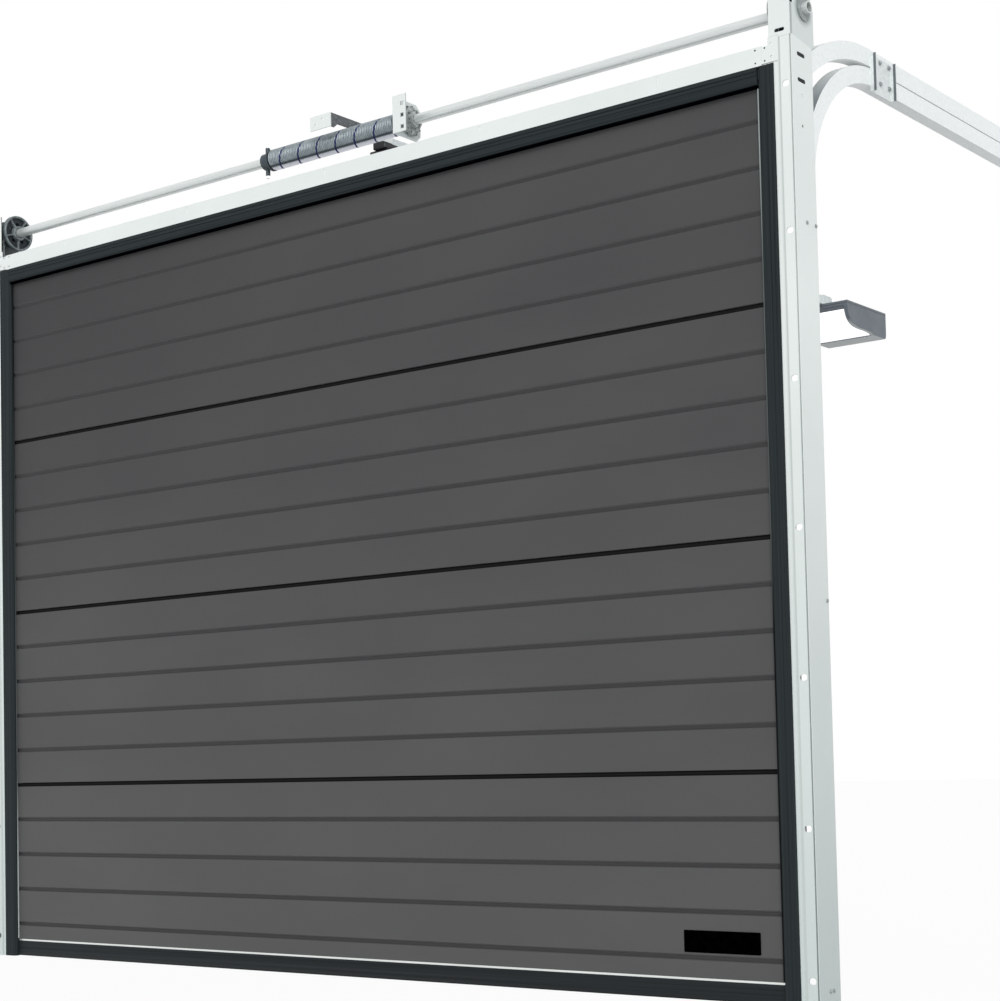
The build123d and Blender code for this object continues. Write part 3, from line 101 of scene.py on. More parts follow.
def reckon(tree, operation, first, second=0.0):
    step = add_node(tree, "Math")
    step.operation = operation
    for socket, value in zip(step.inputs, (first, second)):
        feed(tree, socket, value)
    return step.outputs["Value"]


def both(tree, first, second):
    # two shares at once: 1 only where each of them is 1
    return reckon(tree, "MULTIPLY", first, second)


def place_on(tree, stretch=(1, 1, 1)):
    # the point on the piece in metres, stretched along an axis for drawn or rolled grain
    here = add_node(tree, "TexCoord").outputs["Object"]
    mapping = add_node(tree, "Mapping", Vector=here)
    mapping.inputs["Scale"].default_value = stretch
    return mapping.outputs["Vector"]


def along(tree, axis):
    return add_node(tree, "SeparateXYZ", Vector=place_on(tree)).outputs[axis]


def cloud(tree, size, detail=3.0, stretch=(1, 1, 1)):
    where = place_on(tree, stretch)
    return add_node(tree, "TexNoise", Vector=where, Scale=1 / size, Detail=detail).outputs["Fac"]


def tones(tree, factor, *stops):
    ramp = add_node(tree, "ValToRGB", Fac=factor)
    band = ramp.color_ramp
    while len(band.elements) < len(stops):
        band.elements.new(0.5)
    for element, (place, colour) in zip(band.elements, stops):
        element.position = place
        element.color = colour
    return ramp.outputs["Color"]


def two_tone(tree, pattern, first, second):
    return tones(tree, pattern, (0.3, first), (0.7, second))


def mixed(tree, share, first, second):
    # for colours the node has its factor at input 0, the colours at 6 and 7, the mix at output 2
    blend = add_node(tree, "Mix")
    blend.data_type = "RGBA"
    for place, value in ((0, share), (6, first), (7, second)):
        feed(tree, blend.inputs[place], value)
    return blend.outputs[2]


def spread(tree, factor, low, high):
    # turns a 0 to 1 pattern into a value between low and high
    return add_node(tree, "MapRange", Value=factor, To_Min=low, To_Max=high).outputs["Result"]


def fade(tree, value, zero, one):
    # 0 where the value is at or beyond the first figure, 1 at or beyond the second
    return add_node(tree, "MapRange", Value=value, From_Min=zero, From_Max=one).outputs["Result"]


def between(tree, value, rise, fall):
    # a band: its two edges each run from 0 at their first figure to 1 at their second
    return both(tree, fade(tree, value, *rise), fade(tree, value, *fall))


def off_mark(tree, value, mark):
    return reckon(tree, "ABSOLUTE", reckon(tree, "SUBTRACT", value, mark))


FLOOR_LEVEL = round(model_box[0][2], 4)


def up(height):
    # a height above the floor, in the door's own frame
    return height + FLOOR_LEVEL


def by_height(tree, low, high):
    # 0 at the lower height above the floor, 1 at the upper one
    return fade(tree, along(tree, "Z"), up(low), up(high))


def turned_to(tree, direction, start=0.3, full=0.8):
    # 1 on the faces that look in a direction, 0 on the rest
    facing = add_node(tree, "VectorMath")
    facing.operation = "DOT_PRODUCT"
    feed(tree, facing.inputs[0], add_node(tree, "TexCoord").outputs["Normal"])
    feed(tree, facing.inputs[1], direction)
    return fade(tree, facing.outputs["Value"], start, full)


def lay_on(tree, shader, shade, roughness=None):
    tree.links.new(shade, shader.inputs["Base Color"])
    if roughness:
        tree.links.new(roughness, shader.inputs["Roughness"])


def relief(tree, shader, height, depth, edge=0.0):
    # a grain of a given depth, and edges that look rounded by a given radius
    bump = add_node(tree, "Bump", Height=height, Distance=depth)
    if edge:
        rounded = add_node(tree, "Bevel", Radius=edge)
        tree.links.new(rounded.outputs["Normal"], bump.inputs["Normal"])
    tree.links.new(bump.outputs["Normal"], shader.inputs["Normal"])


def dress(finish, slot, *names):
    for name in names:
        mesh = nodes[name].data
        mesh.materials.clear()
        mesh.materials.append(finish)


def white_sheet(name):
    # low down the coat is a little greyer, and there the side faces are painted darker than the front as
    # painted shade
    finish, tree, shader = new_finish(name, 0.42)
    high_coat = two_tone(tree, cloud(tree, 0.35), paint(227, 233, 230), paint(235, 240, 237))
    low_coat_with_side_shade = mixed(tree, turned_to(tree, (1, 0, 0)), paint(204, 214, 211), paint(185, 195, 193))
    shade = mixed(tree, by_height(tree, 0.0, 1.5), low_coat_with_side_shade, high_coat)
    tree.links.new(spread(tree, cloud(tree, 0.04), 0.36, 0.48), shader.inputs["Roughness"])
    relief(tree, shader, cloud(tree, 0.0022, 2.0), 0.00006, 0.0008)
    return finish, tree, shader, shade


white_coat, tree, shader, shade = white_sheet("white_powder_coat")
# a faint painted shadow line runs down the stile's face, along the fold that the roll made for the seal's
# pocket
FOLD_LINE = 1.3062
LINE_EDGE, LINE_CORE = 0.0030, 0.0012
across = reckon(tree, "ABSOLUTE", along(tree, "X"))
line = fade(tree, off_mark(tree, across, FOLD_LINE), LINE_EDGE, LINE_CORE)
line = both(tree, line, turned_to(tree, (0, -1, 0)))
lay_on(tree, shader, mixed(tree, line, shade, paint(196, 203, 200)))
dress(white_coat, "white_steel", "stile_right", "stile_left", "head_rail", "corner_plates")


# Bearing brackets and spring bracket: white coated sheet, folded, with a ball bearing of
# plain steel pressed into each. They are bolted to the wall above the head rail.
AXIS_Y, AXIS_Z = frame["joints"][0]["pos_m"][1:]
BEARING_RIM = 0.0272
RIM_STEP = 0.0006
# a grey painted shade for the bracket's fold and the ring round its bearing
BRACKET_SHADE_REACH = 0.042
BRACKET_SHADE_SHARE = 0.7
BRACKET_SHADE = paint(140, 148, 147)


def from_shaft(tree):
    # how far a point lies from the shaft's middle line
    away = reckon(tree, "SUBTRACT", along(tree, "Y"), AXIS_Y)
    rise = reckon(tree, "SUBTRACT", along(tree, "Z"), AXIS_Z)
    squares = [reckon(tree, "MULTIPLY", side, side) for side in (away, rise)]
    return reckon(tree, "SQRT", reckon(tree, "ADD", *squares))


bracket_coat, tree, shader, shade = white_sheet("bracket_powder_coat")
sideways = turned_to(tree, (1, 0, 0))
# the faces turned to the side are painted greyer, as painted shade
shade = mixed(tree, both(tree, sideways, 0.6), shade, paint(204, 211, 211))
# painted shadow in the fold and painted shade round the bearing; the inner sides near the ends are painted
# dark as painted shade
bracket_fold_shadow = both(tree, sideways, fade(tree, along(tree, "Y"), 0.010, 0.007))
shade = mixed(tree, both(tree, bracket_fold_shadow, BRACKET_SHADE_SHARE), shade, BRACKET_SHADE)
bearing_shade = fade(tree, from_shaft(tree), BRACKET_SHADE_REACH, BEARING_RIM)
shade = mixed(tree, both(tree, bearing_shade, BRACKET_SHADE_SHARE), shade, BRACKET_SHADE)
inner_left = both(tree, sideways, fade(tree, along(tree, "X"), 0.8, -0.8))
inner_right = both(tree, turned_to(tree, (-1, 0, 0)), fade(tree, along(tree, "X"), -0.8, 0.8))
inner_side_shade = reckon(tree, "MAXIMUM", inner_left, inner_right)
far_out = fade(tree, reckon(tree, "ABSOLUTE", along(tree, "X")), 1.1, 1.2)
shade = mixed(tree, both(tree, inner_side_shade, far_out), shade, paint(78, 88, 88))
steel = two_tone(tree, cloud(tree, 0.006), paint(126, 132, 133), paint(160, 166, 166))
shade = mixed(tree, fade(tree, from_shaft(tree), BEARING_RIM + RIM_STEP, BEARING_RIM), shade, steel)
lay_on(tree, shader, shade)
dress(bracket_coat, "white_steel", "bearing_bracket_right", "bearing_bracket_left", "spring_bracket")


# Header bracket of the opener: a folded strip, screwed to the wall by its white flange. The arm that
# reaches over the spring is painted dark, as painted shade.
arm_coat, tree, shader, shade = white_sheet("opener_bracket_coat")
arm_shade = two_tone(tree, cloud(tree, 0.008), paint(62, 66, 70), paint(104, 108, 112))
shaded_arm = between(tree, along(tree, "Y"), (0.002, 0.004), (0.130, 0.110))
lay_on(tree, shader, mixed(tree, shaded_arm, shade, arm_shade))
dress(arm_coat, "white_steel", "header_bracket")


# Corner plate rivets: small flat headed rivets of zinc plated steel, cold formed. Four at
# each corner hold the plate to the tab of the head rail.
def skin(form, rings, closed=False):
    # faces between rings of points; the last ring meets the first, or both ends are filled
    following = rings[1:] + rings[:1] if closed else rings[1:]
    for low, high in zip(rings, following):
        for i in range(len(low)):
            j = (i + 1) % len(low)
            form.faces.new((low[i], low[j], high[j], high[i]))
    if not closed:
        form.faces.new(rings[0][::-1])
        form.faces.new(rings[-1])


def turned(form, seat, facing, profile, sides):
    # profile: (radius, height above the seat) from the seat upwards
    turn = Vector(facing).normalized().to_track_quat("Z", "Y").to_matrix()
    rings = []
    for radius, height in profile:
        ring = []
        for i in range(sides):
            angle = 2 * pi * i / sides
            point = turn @ Vector((radius * cos(angle), radius * sin(angle), height))
            ring.append(form.verts.new(Vector(seat) + point))
        rings.append(ring)
    skin(form, rings)


def both_sides(form):
    # the same again on the left of the door
    twin = bmesh.ops.duplicate(form, geom=form.verts[:] + form.edges[:] + form.faces[:])["geom"]
    for vert in twin:
        if isinstance(vert, bmesh.types.BMVert):
            vert.co.x = -vert.co.x
    bmesh.ops.reverse_faces(form, faces=[g for g in twin if isinstance(g, bmesh.types.BMFace)])


def stand_up(name, form, finish, body="frame_and_leaf", crease=35):
    # the form becomes a piece of its own; edges over the crease angle stay sharp
    bmesh.ops.recalc_face_normals(form, faces=form.faces)
    for edge in form.edges:
        if len(edge.link_faces) == 2 and edge.calc_face_angle() > radians(crease):
            edge.smooth = False
    for face in form.faces:
        face.smooth = True
    mesh = bpy.data.meshes.new(name)
    form.to_mesh(mesh)
    form.free()
    mesh.materials.append(finish)
    piece = bpy.data.objects.new(name, mesh)
    bpy.context.scene.collection.objects.link(piece)
    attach(piece, body)
    return piece


bright_zinc, tree, shader = new_finish("bright_zinc_plate", 0.34, 0.85)
bloom = cloud(tree, 0.006)
shade = two_tone(tree, bloom, paint(150, 156, 160), paint(186, 190, 190))
lay_on(tree, shader, shade, spread(tree, bloom, 0.28, 0.45))
relief(tree, shader, cloud(tree, 0.0008), 0.00003)

RIVET_COLUMNS = (1.271, 1.248)
RIVET_ROWS = (2.012, 2.040)
FLAT_RIVET = ((0.0028, 0), (0.0028, 0.0006), (0.002, 0.001))
RIVET_SINK = 0.0008
form = bmesh.new()
for x in RIVET_COLUMNS:
    for height in RIVET_ROWS:
        turned(form, (x, 0.0, up(height)), (0, -1, 0), FLAT_RIVET, 16)
both_sides(form)
# the heads are hammered flat and sunk flush with the plate's face
for vert in form.verts:
    vert.co.y = max(vert.co.y, -RIVET_SINK) + RIVET_SINK
stand_up("corner_plate_rivets", form, bright_zinc)


# Stile screws: six sided track screws of plated steel with a pressed washer, driven from
# the side of the stile into the vertical track.
WASHER_THICK = 0.0015


def hex_bolt(form, seat, facing, flats, stub=0.0):
    # washer, six sided head with its chamfer, and the bolt's own end where it shows
    radius = flats / 2 / cos(pi / 6)
    washer = [(radius * 1.25, 0), (radius * 1.25, WASHER_THICK * 0.8), (radius * 1.2, WASHER_THICK)]
    turned(form, seat, facing, washer, 24)
    head = [(radius, WASHER_THICK), (radius, flats * 0.48), (radius * 0.86, flats * 0.55)]
    turned(form, seat, facing, head, 6)
    if stub:
        end = [(flats * 0.3, flats * 0.5), (flats * 0.3, flats * 0.55 + stub)]
        turned(form, seat, facing, end, 16)


STILE_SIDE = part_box("stile_right")[1].x
STILE_SCREW_FLATS = 0.006
STILE_SCREWS = ((0.045, 1.658), (0.084, 1.658), (0.083, 0.852), (0.046, 0.032), (0.060, 0.032))
form = bmesh.new()
for y, height in STILE_SCREWS:
    hex_bolt(form, (STILE_SIDE, y, up(height)), (1, 0, 0), STILE_SCREW_FLATS)
both_sides(form)
stand_up("stile_screws", form, bright_zinc)


# Closing plugs: white ones in the head rail's free slots, and black ones in the two slots high on the
# stile's side. Each is a moulded disc with long sides, pressed in flush. The black of the side plugs is
# painted shade, the dark of the open slots.
def plain_finish(name, roughness, first, second, patch, grain, depth,
                 metallic=0.0, specular=0.5, edge=0.0):
    # two close tones in patches of one size, and a grain of another size with its depth
    finish, tree, shader = new_finish(name, roughness, metallic, specular)
    lay_on(tree, shader, two_tone(tree, cloud(tree, patch), paint(*first), paint(*second)))
    relief(tree, shader, cloud(tree, grain), depth, edge)
    return finish


def slot_outline(half_long, half_wide, steps=8):
    outline = []
    for end, first in ((1, -90), (-1, 90)):
        for step in range(steps + 1):
            angle = radians(first + 180 * step / steps)
            outline.append((end * (half_long - half_wide) + half_wide * cos(angle), half_wide * sin(angle)))
    return outline


PLUG_THICK = 0.0014
PLUG_WALL = 0.0011
PLUG_CHAMFER = 0.0004


def pressed_plug(form, seat, long_way, wide_way, facing, half_long, half_wide):
    # seat: the middle of the plug's back
    seat, long_way, wide_way, facing = (Vector(v) for v in (seat, long_way, wide_way, facing))
    rings = []
    for inset, depth in ((0.0, 0.0), (0.0, PLUG_WALL), (PLUG_CHAMFER, PLUG_THICK)):
        outline = slot_outline(half_long - inset, half_wide - inset)
        middle = seat + facing * depth
        rings.append([form.verts.new(middle + long_way * a + wide_way * b) for a, b in outline])
    skin(form, rings)


HEAD_PLUGS_AT = (-1.0, -0.5, 0.0, 0.5, 1.0)
HEAD_PLUG_HEIGHT = 2.031
HEAD_PLUG_BACK = 0.0018
HEAD_PLUG_HALVES = (0.0098, 0.0028)
white_plastic = plain_finish("white_plug", 0.4, (236, 240, 238), (246, 248, 247),
                             patch=0.004, grain=0.0009, depth=0.00003)
form = bmesh.new()
for x in HEAD_PLUGS_AT:
    seat = (x, HEAD_PLUG_BACK, up(HEAD_PLUG_HEIGHT))
    pressed_plug(form, seat, (0, 0, 1), (1, 0, 0), (0, -1, 0), *HEAD_PLUG_HALVES)
stand_up("head_rail_plugs", form, white_plastic)

SIDE_PLUG_HEIGHTS = (2.020, 1.964)
SIDE_PLUG_Y = 0.040
SIDE_PLUG_BACK = 1.3342
SIDE_PLUG_HALVES = (0.0168, 0.0043)
# the black stands in for the shade inside the slots: painted shade
black_plug = plain_finish("black_plug", 0.6, (20, 22, 24), (46, 50, 53),
                          patch=0.003, grain=0.0009, depth=0.00005, specular=0.2)
form = bmesh.new()
for height in SIDE_PLUG_HEIGHTS:
    seat = (SIDE_PLUG_BACK, SIDE_PLUG_Y, up(height))
    pressed_plug(form, seat, (0, 1, 0), (0, 0, 1), (1, 0, 0), *SIDE_PLUG_HALVES)
both_sides(form)
stand_up("stile_side_plugs", form, black_plug)


# Frame seals: black rubber extruded in one piece with a softer, paler lip. The fine
# lines along them are the die's marks; they are pushed into the fold and cut square.
def seal_rubber(name, drawn, shaded_side):
    # the side that lies towards the leaf is painted near black, as painted shade
    finish, tree, shader = new_finish(name, 0.62, 0.0, 0.12)
    lines = cloud(tree, 0.0025, 2.0, drawn)
    shade = tones(tree, lines, (0.25, paint(27, 33, 35)), (0.75, paint(46, 53, 55)))
    shade = mixed(tree, turned_to(tree, shaded_side, 0.6, 0.9), shade, paint(2, 2, 4))
    lay_on(tree, shader, shade, spread(tree, cloud(tree, 0.03), 0.5, 0.66))
    relief(tree, shader, lines, 0.0007)
    return finish


upright_rubber = seal_rubber("seal_rubber_upright", (1, 1, 0.004), (-1, 0, 0))
level_rubber = seal_rubber("seal_rubber_level", (0.004, 1, 1), (0, 0, -1))
dress(upright_rubber, "rubber", "seal_right", "seal_left")
dress(level_rubber, "rubber", "seal_top")


# Lip beads: the soft grey edge of the upright seals that rubs on the leaf, extruded with them. Along the
# height its tone is painted highlight and painted shade: near black low on the right and high on the left,
# pale high on the right and low on the left.
lip_grey, tree, shader = new_finish("pale_lip", 0.6, 0.0, 0.05)
level = by_height(tree, 0.0, 2.0)
right = tones(tree, level, (0.40, paint(5, 5, 8)), (0.50, paint(84, 88, 88)),
              (0.80, paint(104, 110, 110)), (0.92, paint(178, 186, 185)))
left = tones(tree, level, (0.12, paint(196, 202, 200)), (0.26, paint(96, 100, 100)),
             (0.60, paint(70, 74, 74)), (0.86, paint(12, 12, 15)))
shade = mixed(tree, fade(tree, along(tree, "X"), -0.1, 0.1), left, right)
shade = mixed(tree, cloud(tree, 0.02), shade, mixed(tree, 0.25, shade, paint(60, 66, 68)))
lay_on(tree, shader, shade)
relief(tree, shader, cloud(tree, 0.004, 2.0, (1, 1, 0.05)), 0.0003)

LIP_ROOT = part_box("seal_right")[0].x + 0.0003
LIP_BACK = 0.0156
LIP_SLANT = 0.001
LIP_ENDS = (0.05, 1.958)
form = bmesh.new()
for side, reach, near in ((1, 0.0032, 0.0068), (-1, 0.0012, 0.0128)):
    root, tip = side * LIP_ROOT, side * (LIP_ROOT - reach)
    corners = ((root, near - LIP_SLANT), (tip, near), (tip, LIP_BACK), (root, LIP_BACK))
    skin(form, [[form.verts.new((x, y, up(end))) for x, y in corners] for end in LIP_ENDS])
stand_up("seal_lip_beads", form, lip_grey)


# Top seal fin: a thin strip glued under the top seal, which closes the gap to the leaf. It is painted black
# as the shadow under the top seal.
def drawn_between(form, outline, low, high):
    # a strip of one section, its outline in Y and Z, from one X to another
    skin(form, [[form.verts.new((x, y, z)) for y, z in outline] for x in (low, high)])


FIN_END = 1.2495
FIN_OUTLINE = ((0.0, 1.9622), (0.0154, 1.9610), (0.0157, 1.9618), (0.0154, 1.9628), (0.0, 1.9630))
fin_shadow_black = plain_finish("black_fin_shadow", 1.0, (1, 1, 4), (7, 7, 12),
                           patch=0.002, grain=0.0008, depth=0.0002, specular=0.0)
form = bmesh.new()
drawn_between(form, [(y, up(height)) for y, height in FIN_OUTLINE], -FIN_END, FIN_END)
stand_up("top_seal_fin", form, fin_shadow_black)


# Door sections: 40 mm foam between two steel skins, the outer one rolled with four ribs
# and coated anthracite with a fine emboss. They hook together, tongue in rebate.
leaf_coat, tree, shader = new_finish("anthracite_emboss", 0.5, 0.0, 0.22)
drift = cloud(tree, 0.6, 4.0, (1, 1, 2))
upper_tone = two_tone(tree, drift, paint(69, 69, 70), paint(75, 75, 75))
floor_lit_tone = two_tone(tree, drift, paint(84, 84, 84), paint(89, 89, 89))
# lighter towards the bottom: painted light, as from the floor's bounce
shade = mixed(tree, by_height(tree, 0.0, 1.6), floor_lit_tone, upper_tone)
shaded_end = both(tree, fade(tree, along(tree, "X"), 0.3, -1.2), by_height(tree, 0.9, 1.9))
shade = mixed(tree, shaded_end, shade, paint(58, 58, 59))
# painted shade darkens the bottom of each groove, and a painted highlight lightens its upper edge
groove_shade = between(tree, along(tree, "Y"), (0.0172, 0.0202), (0.030, 0.028))
shade = mixed(tree, groove_shade, shade, paint(60, 60, 61))
groove_edge_highlight = both(tree, turned_to(tree, (0, 0, -1)), fade(tree, along(tree, "Y"), 0.026, 0.024))
shade = mixed(tree, groove_edge_highlight, shade, paint(100, 100, 100))
lay_on(tree, shader, shade, spread(tree, cloud(tree, 0.05), 0.44, 0.56))
relief(tree, shader, cloud(tree, 0.0018, 3.0, (0.6, 1, 1)), 0.00022, 0.0015)
dress(leaf_coat, "leaf_paint", "section_1", "section_2", "section_3", "section_4")


# Joint strips: soft black rubber stuck to the tongue in each joint between two sections,
# with a low crown that closes the joint against wind.
SEAM_HEIGHTS = (0.492, 0.992, 1.492)
STRIP_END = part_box("section_1")[1].x - 0.0005
STRIP_BACK = 0.0249
STRIP_CROWN = ((0.0225, -0.0052), (0.0212, -0.0025), (0.0208, 0.0), (0.0212, 0.0025), (0.0225, 0.0052))
strip_outline = [(STRIP_BACK, STRIP_CROWN[0][1]), *STRIP_CROWN, (STRIP_BACK, STRIP_CROWN[-1][1])]
joint_rubber = plain_finish("joint_rubber", 0.8, (8, 8, 9), (15, 15, 16),
                            patch=0.003, grain=0.0015, depth=0.0004, specular=0.2)
form = bmesh.new()
for seam in SEAM_HEIGHTS:
    drawn_between(form, [(y, up(seam + rise)) for y, rise in strip_outline], -STRIP_END, STRIP_END)
stand_up("joint_strips", form, joint_rubber)


# Name plate left bare: a black moulded plate with rounded corners and a small chamfer,
# held by two adhesive pads low on the right of the leaf.
PLATE_MIDDLE = (1.0955, 0.1270)
PLATE_HALVES = (0.0950, 0.0240)
# each step: how far it lies inside the outline, its corner radius and its Y
PLATE_STEPS = ((0.0, 0.0020, 0.0160), (0.0, 0.0020, 0.0144), (0.0008, 0.0016, 0.0136))


def rounded_ring(form, half_wide, half_high, corner, depth, steps=4):
    ring = []
    for side_x, side_z, first in ((1, 1, 0), (-1, 1, 90), (-1, -1, 180), (1, -1, 270)):
        for step in range(steps + 1):
            angle = radians(first + step * 90 / steps)
            x = side_x * (half_wide - corner) + corner * cos(angle)
            z = side_z * (half_high - corner) + corner * sin(angle)
            ring.append(form.verts.new((PLATE_MIDDLE[0] + x, depth, up(PLATE_MIDDLE[1] + z))))
    return ring


plate_black = plain_finish("matt_black_plate", 0.9, (0, 0, 1), (3, 3, 4),
                           patch=0.01, grain=0.0006, depth=0.00005, specular=0.0)
form = bmesh.new()
skin(form, [rounded_ring(form, PLATE_HALVES[0] - inset, PLATE_HALVES[1] - inset, corner, depth)
            for inset, corner, depth in PLATE_STEPS])
stand_up("bare_plate", form, plate_black)


# End caps, hinges, hangers and fittings: hot dip galvanised sheet, pressed and bent. The
# zinc shows as a soft spangle, paler where it lies thick.
SPANGLE_SCALE = 160.0


def zinc_coat(name, pale, dull, metallic):
    finish, tree, shader = new_finish(name, 0.46, metallic)
    spangle = add_node(tree, "TexVoronoi", Vector=place_on(tree), Scale=SPANGLE_SCALE).outputs["Color"]
    grey = add_node(tree, "RGBToBW", Color=spangle).outputs["Val"]
    shade = tones(tree, grey, (0.2, dull), (0.8, pale))
    tree.links.new(spread(tree, grey, 0.42, 0.54), shader.inputs["Roughness"])
    relief(tree, shader, cloud(tree, 0.002), 0.00006, 0.0008)
    return finish, tree, shader, shade


sheet_pale, sheet_dull = paint(222, 228, 228), paint(208, 215, 215)
galvanised, tree, shader, shade = zinc_coat("galvanised_sheet", sheet_pale, sheet_dull, 0.35)
lay_on(tree, shader, shade)
dress(galvanised, "zinc_steel", "end_caps", "rear_hangers", "side_hinges", "middle_hinges",
      "bottom_brackets", "top_carriers", "arm_bracket", "rail_clip", "door_arm")


# Tracks: C section rolled from a whiter zinc coated strip, bent at the head and bolted to the stiles. The
# faces turned to the wall are painted dark, as painted shade.
track_pale, track_dull = paint(247, 250, 249), paint(240, 244, 243)
rolled_zinc, tree, shader, shade = zinc_coat("rolled_track_zinc", track_pale, track_dull, 0.0)
lay_on(tree, shader, mixed(tree, turned_to(tree, (0, -1, 0)), shade, paint(118, 126, 130)))
dress(rolled_zinc, "white_steel", "vertical_tracks", "curved_tracks", "lower_tracks", "upper_tracks")


# Joint plates: pressed plates with turned flanges, bolted across the joint between bend and level track.
# The outer edge of the flange towards the wall is darker.
FLANGE_EDGE = (1.3430, 1.3440)
plate_pale, plate_dull = paint(232, 237, 236), paint(218, 224, 223)
plate_zinc, tree, shader, shade = zinc_coat("joint_plate_zinc", plate_pale, plate_dull, 0.0)
outermost = fade(tree, reckon(tree, "ABSOLUTE", along(tree, "X")), *FLANGE_EDGE)
dark_flange_edge = both(tree, turned_to(tree, (0, -1, 0)), outermost)
lay_on(tree, shader, mixed(tree, dark_flange_edge, shade, paint(98, 105, 108)))
dress(plate_zinc, "white_steel", "joint_plates")


# Cap rivets: dome headed rivets of plated steel, three to each end cap, through its
# flange into the end of the section.
def dome_rivet(form, seat, facing, radius):
    dome = [(radius * cos(radians(a)), radius * 0.45 * sin(radians(a))) for a in (0, 25, 50, 75)]
    turned(form, seat, facing, dome, 18)


SECTION_FEET = (0.0, 0.5, 1.0, 1.5)
CAP_RIVET_RISES = (0.12, 0.25, 0.38)
CAP_RIVET_X = 1.216
CAP_RIVET_RADIUS = 0.0042
CAP_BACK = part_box("end_caps")[1].y
form = bmesh.new()
for foot in SECTION_FEET:
    for rise in CAP_RIVET_RISES:
        dome_rivet(form, (CAP_RIVET_X, CAP_BACK, up(foot + rise)), (0, 1, 0), CAP_RIVET_RADIUS)
both_sides(form)
stand_up("cap_rivets", form, bright_zinc)


# Bottom rail and ground seal: a bare aluminium extrusion under the lowest section, with
# a hollow rubber tube pushed into its grooves to close on an uneven floor.
bare_alloy, tree, shader = new_finish("bare_aluminium", 0.3, 0.7)
draw = cloud(tree, 0.0015, 2.0, (0.01, 1, 1))
lay_on(tree, shader, tones(tree, draw, (0.2, paint(214, 218, 216)), (0.8, paint(240, 243, 240))))
relief(tree, shader, draw, 0.00008, 0.0006)
dress(bare_alloy, "aluminium", "bottom_rail")

ground_rubber, tree, shader = new_finish("ground_seal_rubber", 0.6, 0.0, 0.15)
ribs = cloud(tree, 0.006, 1.0, (0.003, 1, 1))
lay_on(tree, shader, two_tone(tree, ribs, paint(24, 28, 30), paint(42, 46, 48)))
relief(tree, shader, ribs, 0.0015)
dress(ground_rubber, "rubber", "bottom_seal")


# Track bolts: plated bolts through the joint plates and the rear hangers, four and two on
# each side, with the bolt's end showing past its nut.
PLATE_BOLTS_Y = (0.417, 0.461)
PLATE_BOLT_HEIGHTS = (2.055, 2.104)
PLATE_BOLT_FLATS, PLATE_BOLT_STUB = 0.008, 0.001
HANGER_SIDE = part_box("rear_hangers")[1].x
HANGER_BOLT_Y = 2.390
HANGER_BOLT_HEIGHTS = (2.061, 2.104)
HANGER_BOLT_FLATS, HANGER_BOLT_STUB = 0.010, 0.002
form = bmesh.new()
for y in PLATE_BOLTS_Y:
    for height in PLATE_BOLT_HEIGHTS:
        hex_bolt(form, (STILE_SIDE, y, up(height)), (1, 0, 0), PLATE_BOLT_FLATS, PLATE_BOLT_STUB)
for height in HANGER_BOLT_HEIGHTS:
    seat = (HANGER_SIDE, HANGER_BOLT_Y, up(height))
    hex_bolt(form, seat, (1, 0, 0), HANGER_BOLT_FLATS, HANGER_BOLT_STUB)
both_sides(form)
stand_up("track_bolts", form, bright_zinc)


# Counterbalance shaft: a drawn steel tube, plated, straight over both drums, with fine
# marks along its length from the die.
shaft_steel, tree, shader = new_finish("drawn_shaft_steel", 0.36, 0.55)
draw = cloud(tree, 0.0015, 3.0, (0.02, 1, 1))
shade = tones(tree, draw, (0.2, paint(206, 212, 211)), (0.8, paint(230, 234, 232)))
lay_on(tree, shader, shade, spread(tree, draw, 0.3, 0.45))
relief(tree, shader, draw, 0.00006)
dress(shaft_steel, "zinc_steel", "shaft")


# Cable drums and spring cones: die cast alloy, dark from the tumbling barrel, with the flash dressed off.
# The pockets between the drums' ribs are painted darkest, as painted shade.
def casting(name, first, second):
    finish, tree, shader = new_finish(name, 0.5, 0.45)
    grain = cloud(tree, 0.003)
    tree.links.new(spread(tree, grain, 0.42, 0.6), shader.inputs["Roughness"])
    relief(tree, shader, grain, 0.00025, 0.0008)
    return finish, tree, shader, two_tone(tree, cloud(tree, 0.03), first, second)


cone_casting, tree, shader, shade = casting("dark_casting", paint(54, 64, 70), paint(78, 88, 94))
lay_on(tree, shader, shade)
dress(cone_casting, "cast_alloy", "winding_cone", "fixed_cone")

drum_casting, tree, shader, shade = casting("drum_casting", paint(58, 68, 73), paint(86, 96, 101))
pocket_shade = between(tree, from_shaft(tree), (0.0205, 0.0225), (0.0465, 0.0450))
lay_on(tree, shader, mixed(tree, pocket_shade, shade, paint(34, 40, 44)))
dress(drum_casting, "cast_alloy", "drum_right", "drum_left")


# Drum ribs: cast in one with the inner face of each drum, a rim, a boss round the shaft and five spokes,
# paler than the pockets between them.
def round_the_shaft(x, angle, radius):
    return Vector((x, AXIS_Y + radius * cos(angle), AXIS_Z + radius * sin(angle)))


DRUM_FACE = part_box("drum_right")[0].x + 0.0002
# each profile: (radius, height off the face), a closed outline that goes round the shaft
RIM_PROFILE = ((0.0518, 0), (0.0518, 0.0055), (0.0508, 0.0068),
               (0.0472, 0.0068), (0.0456, 0.0050), (0.0452, 0))
BOSS_PROFILE = ((0.0226, 0), (0.0212, 0.0100), (0.0198, 0.0116),
                (0.0152, 0.0116), (0.0134, 0.0100), (0.0134, 0))
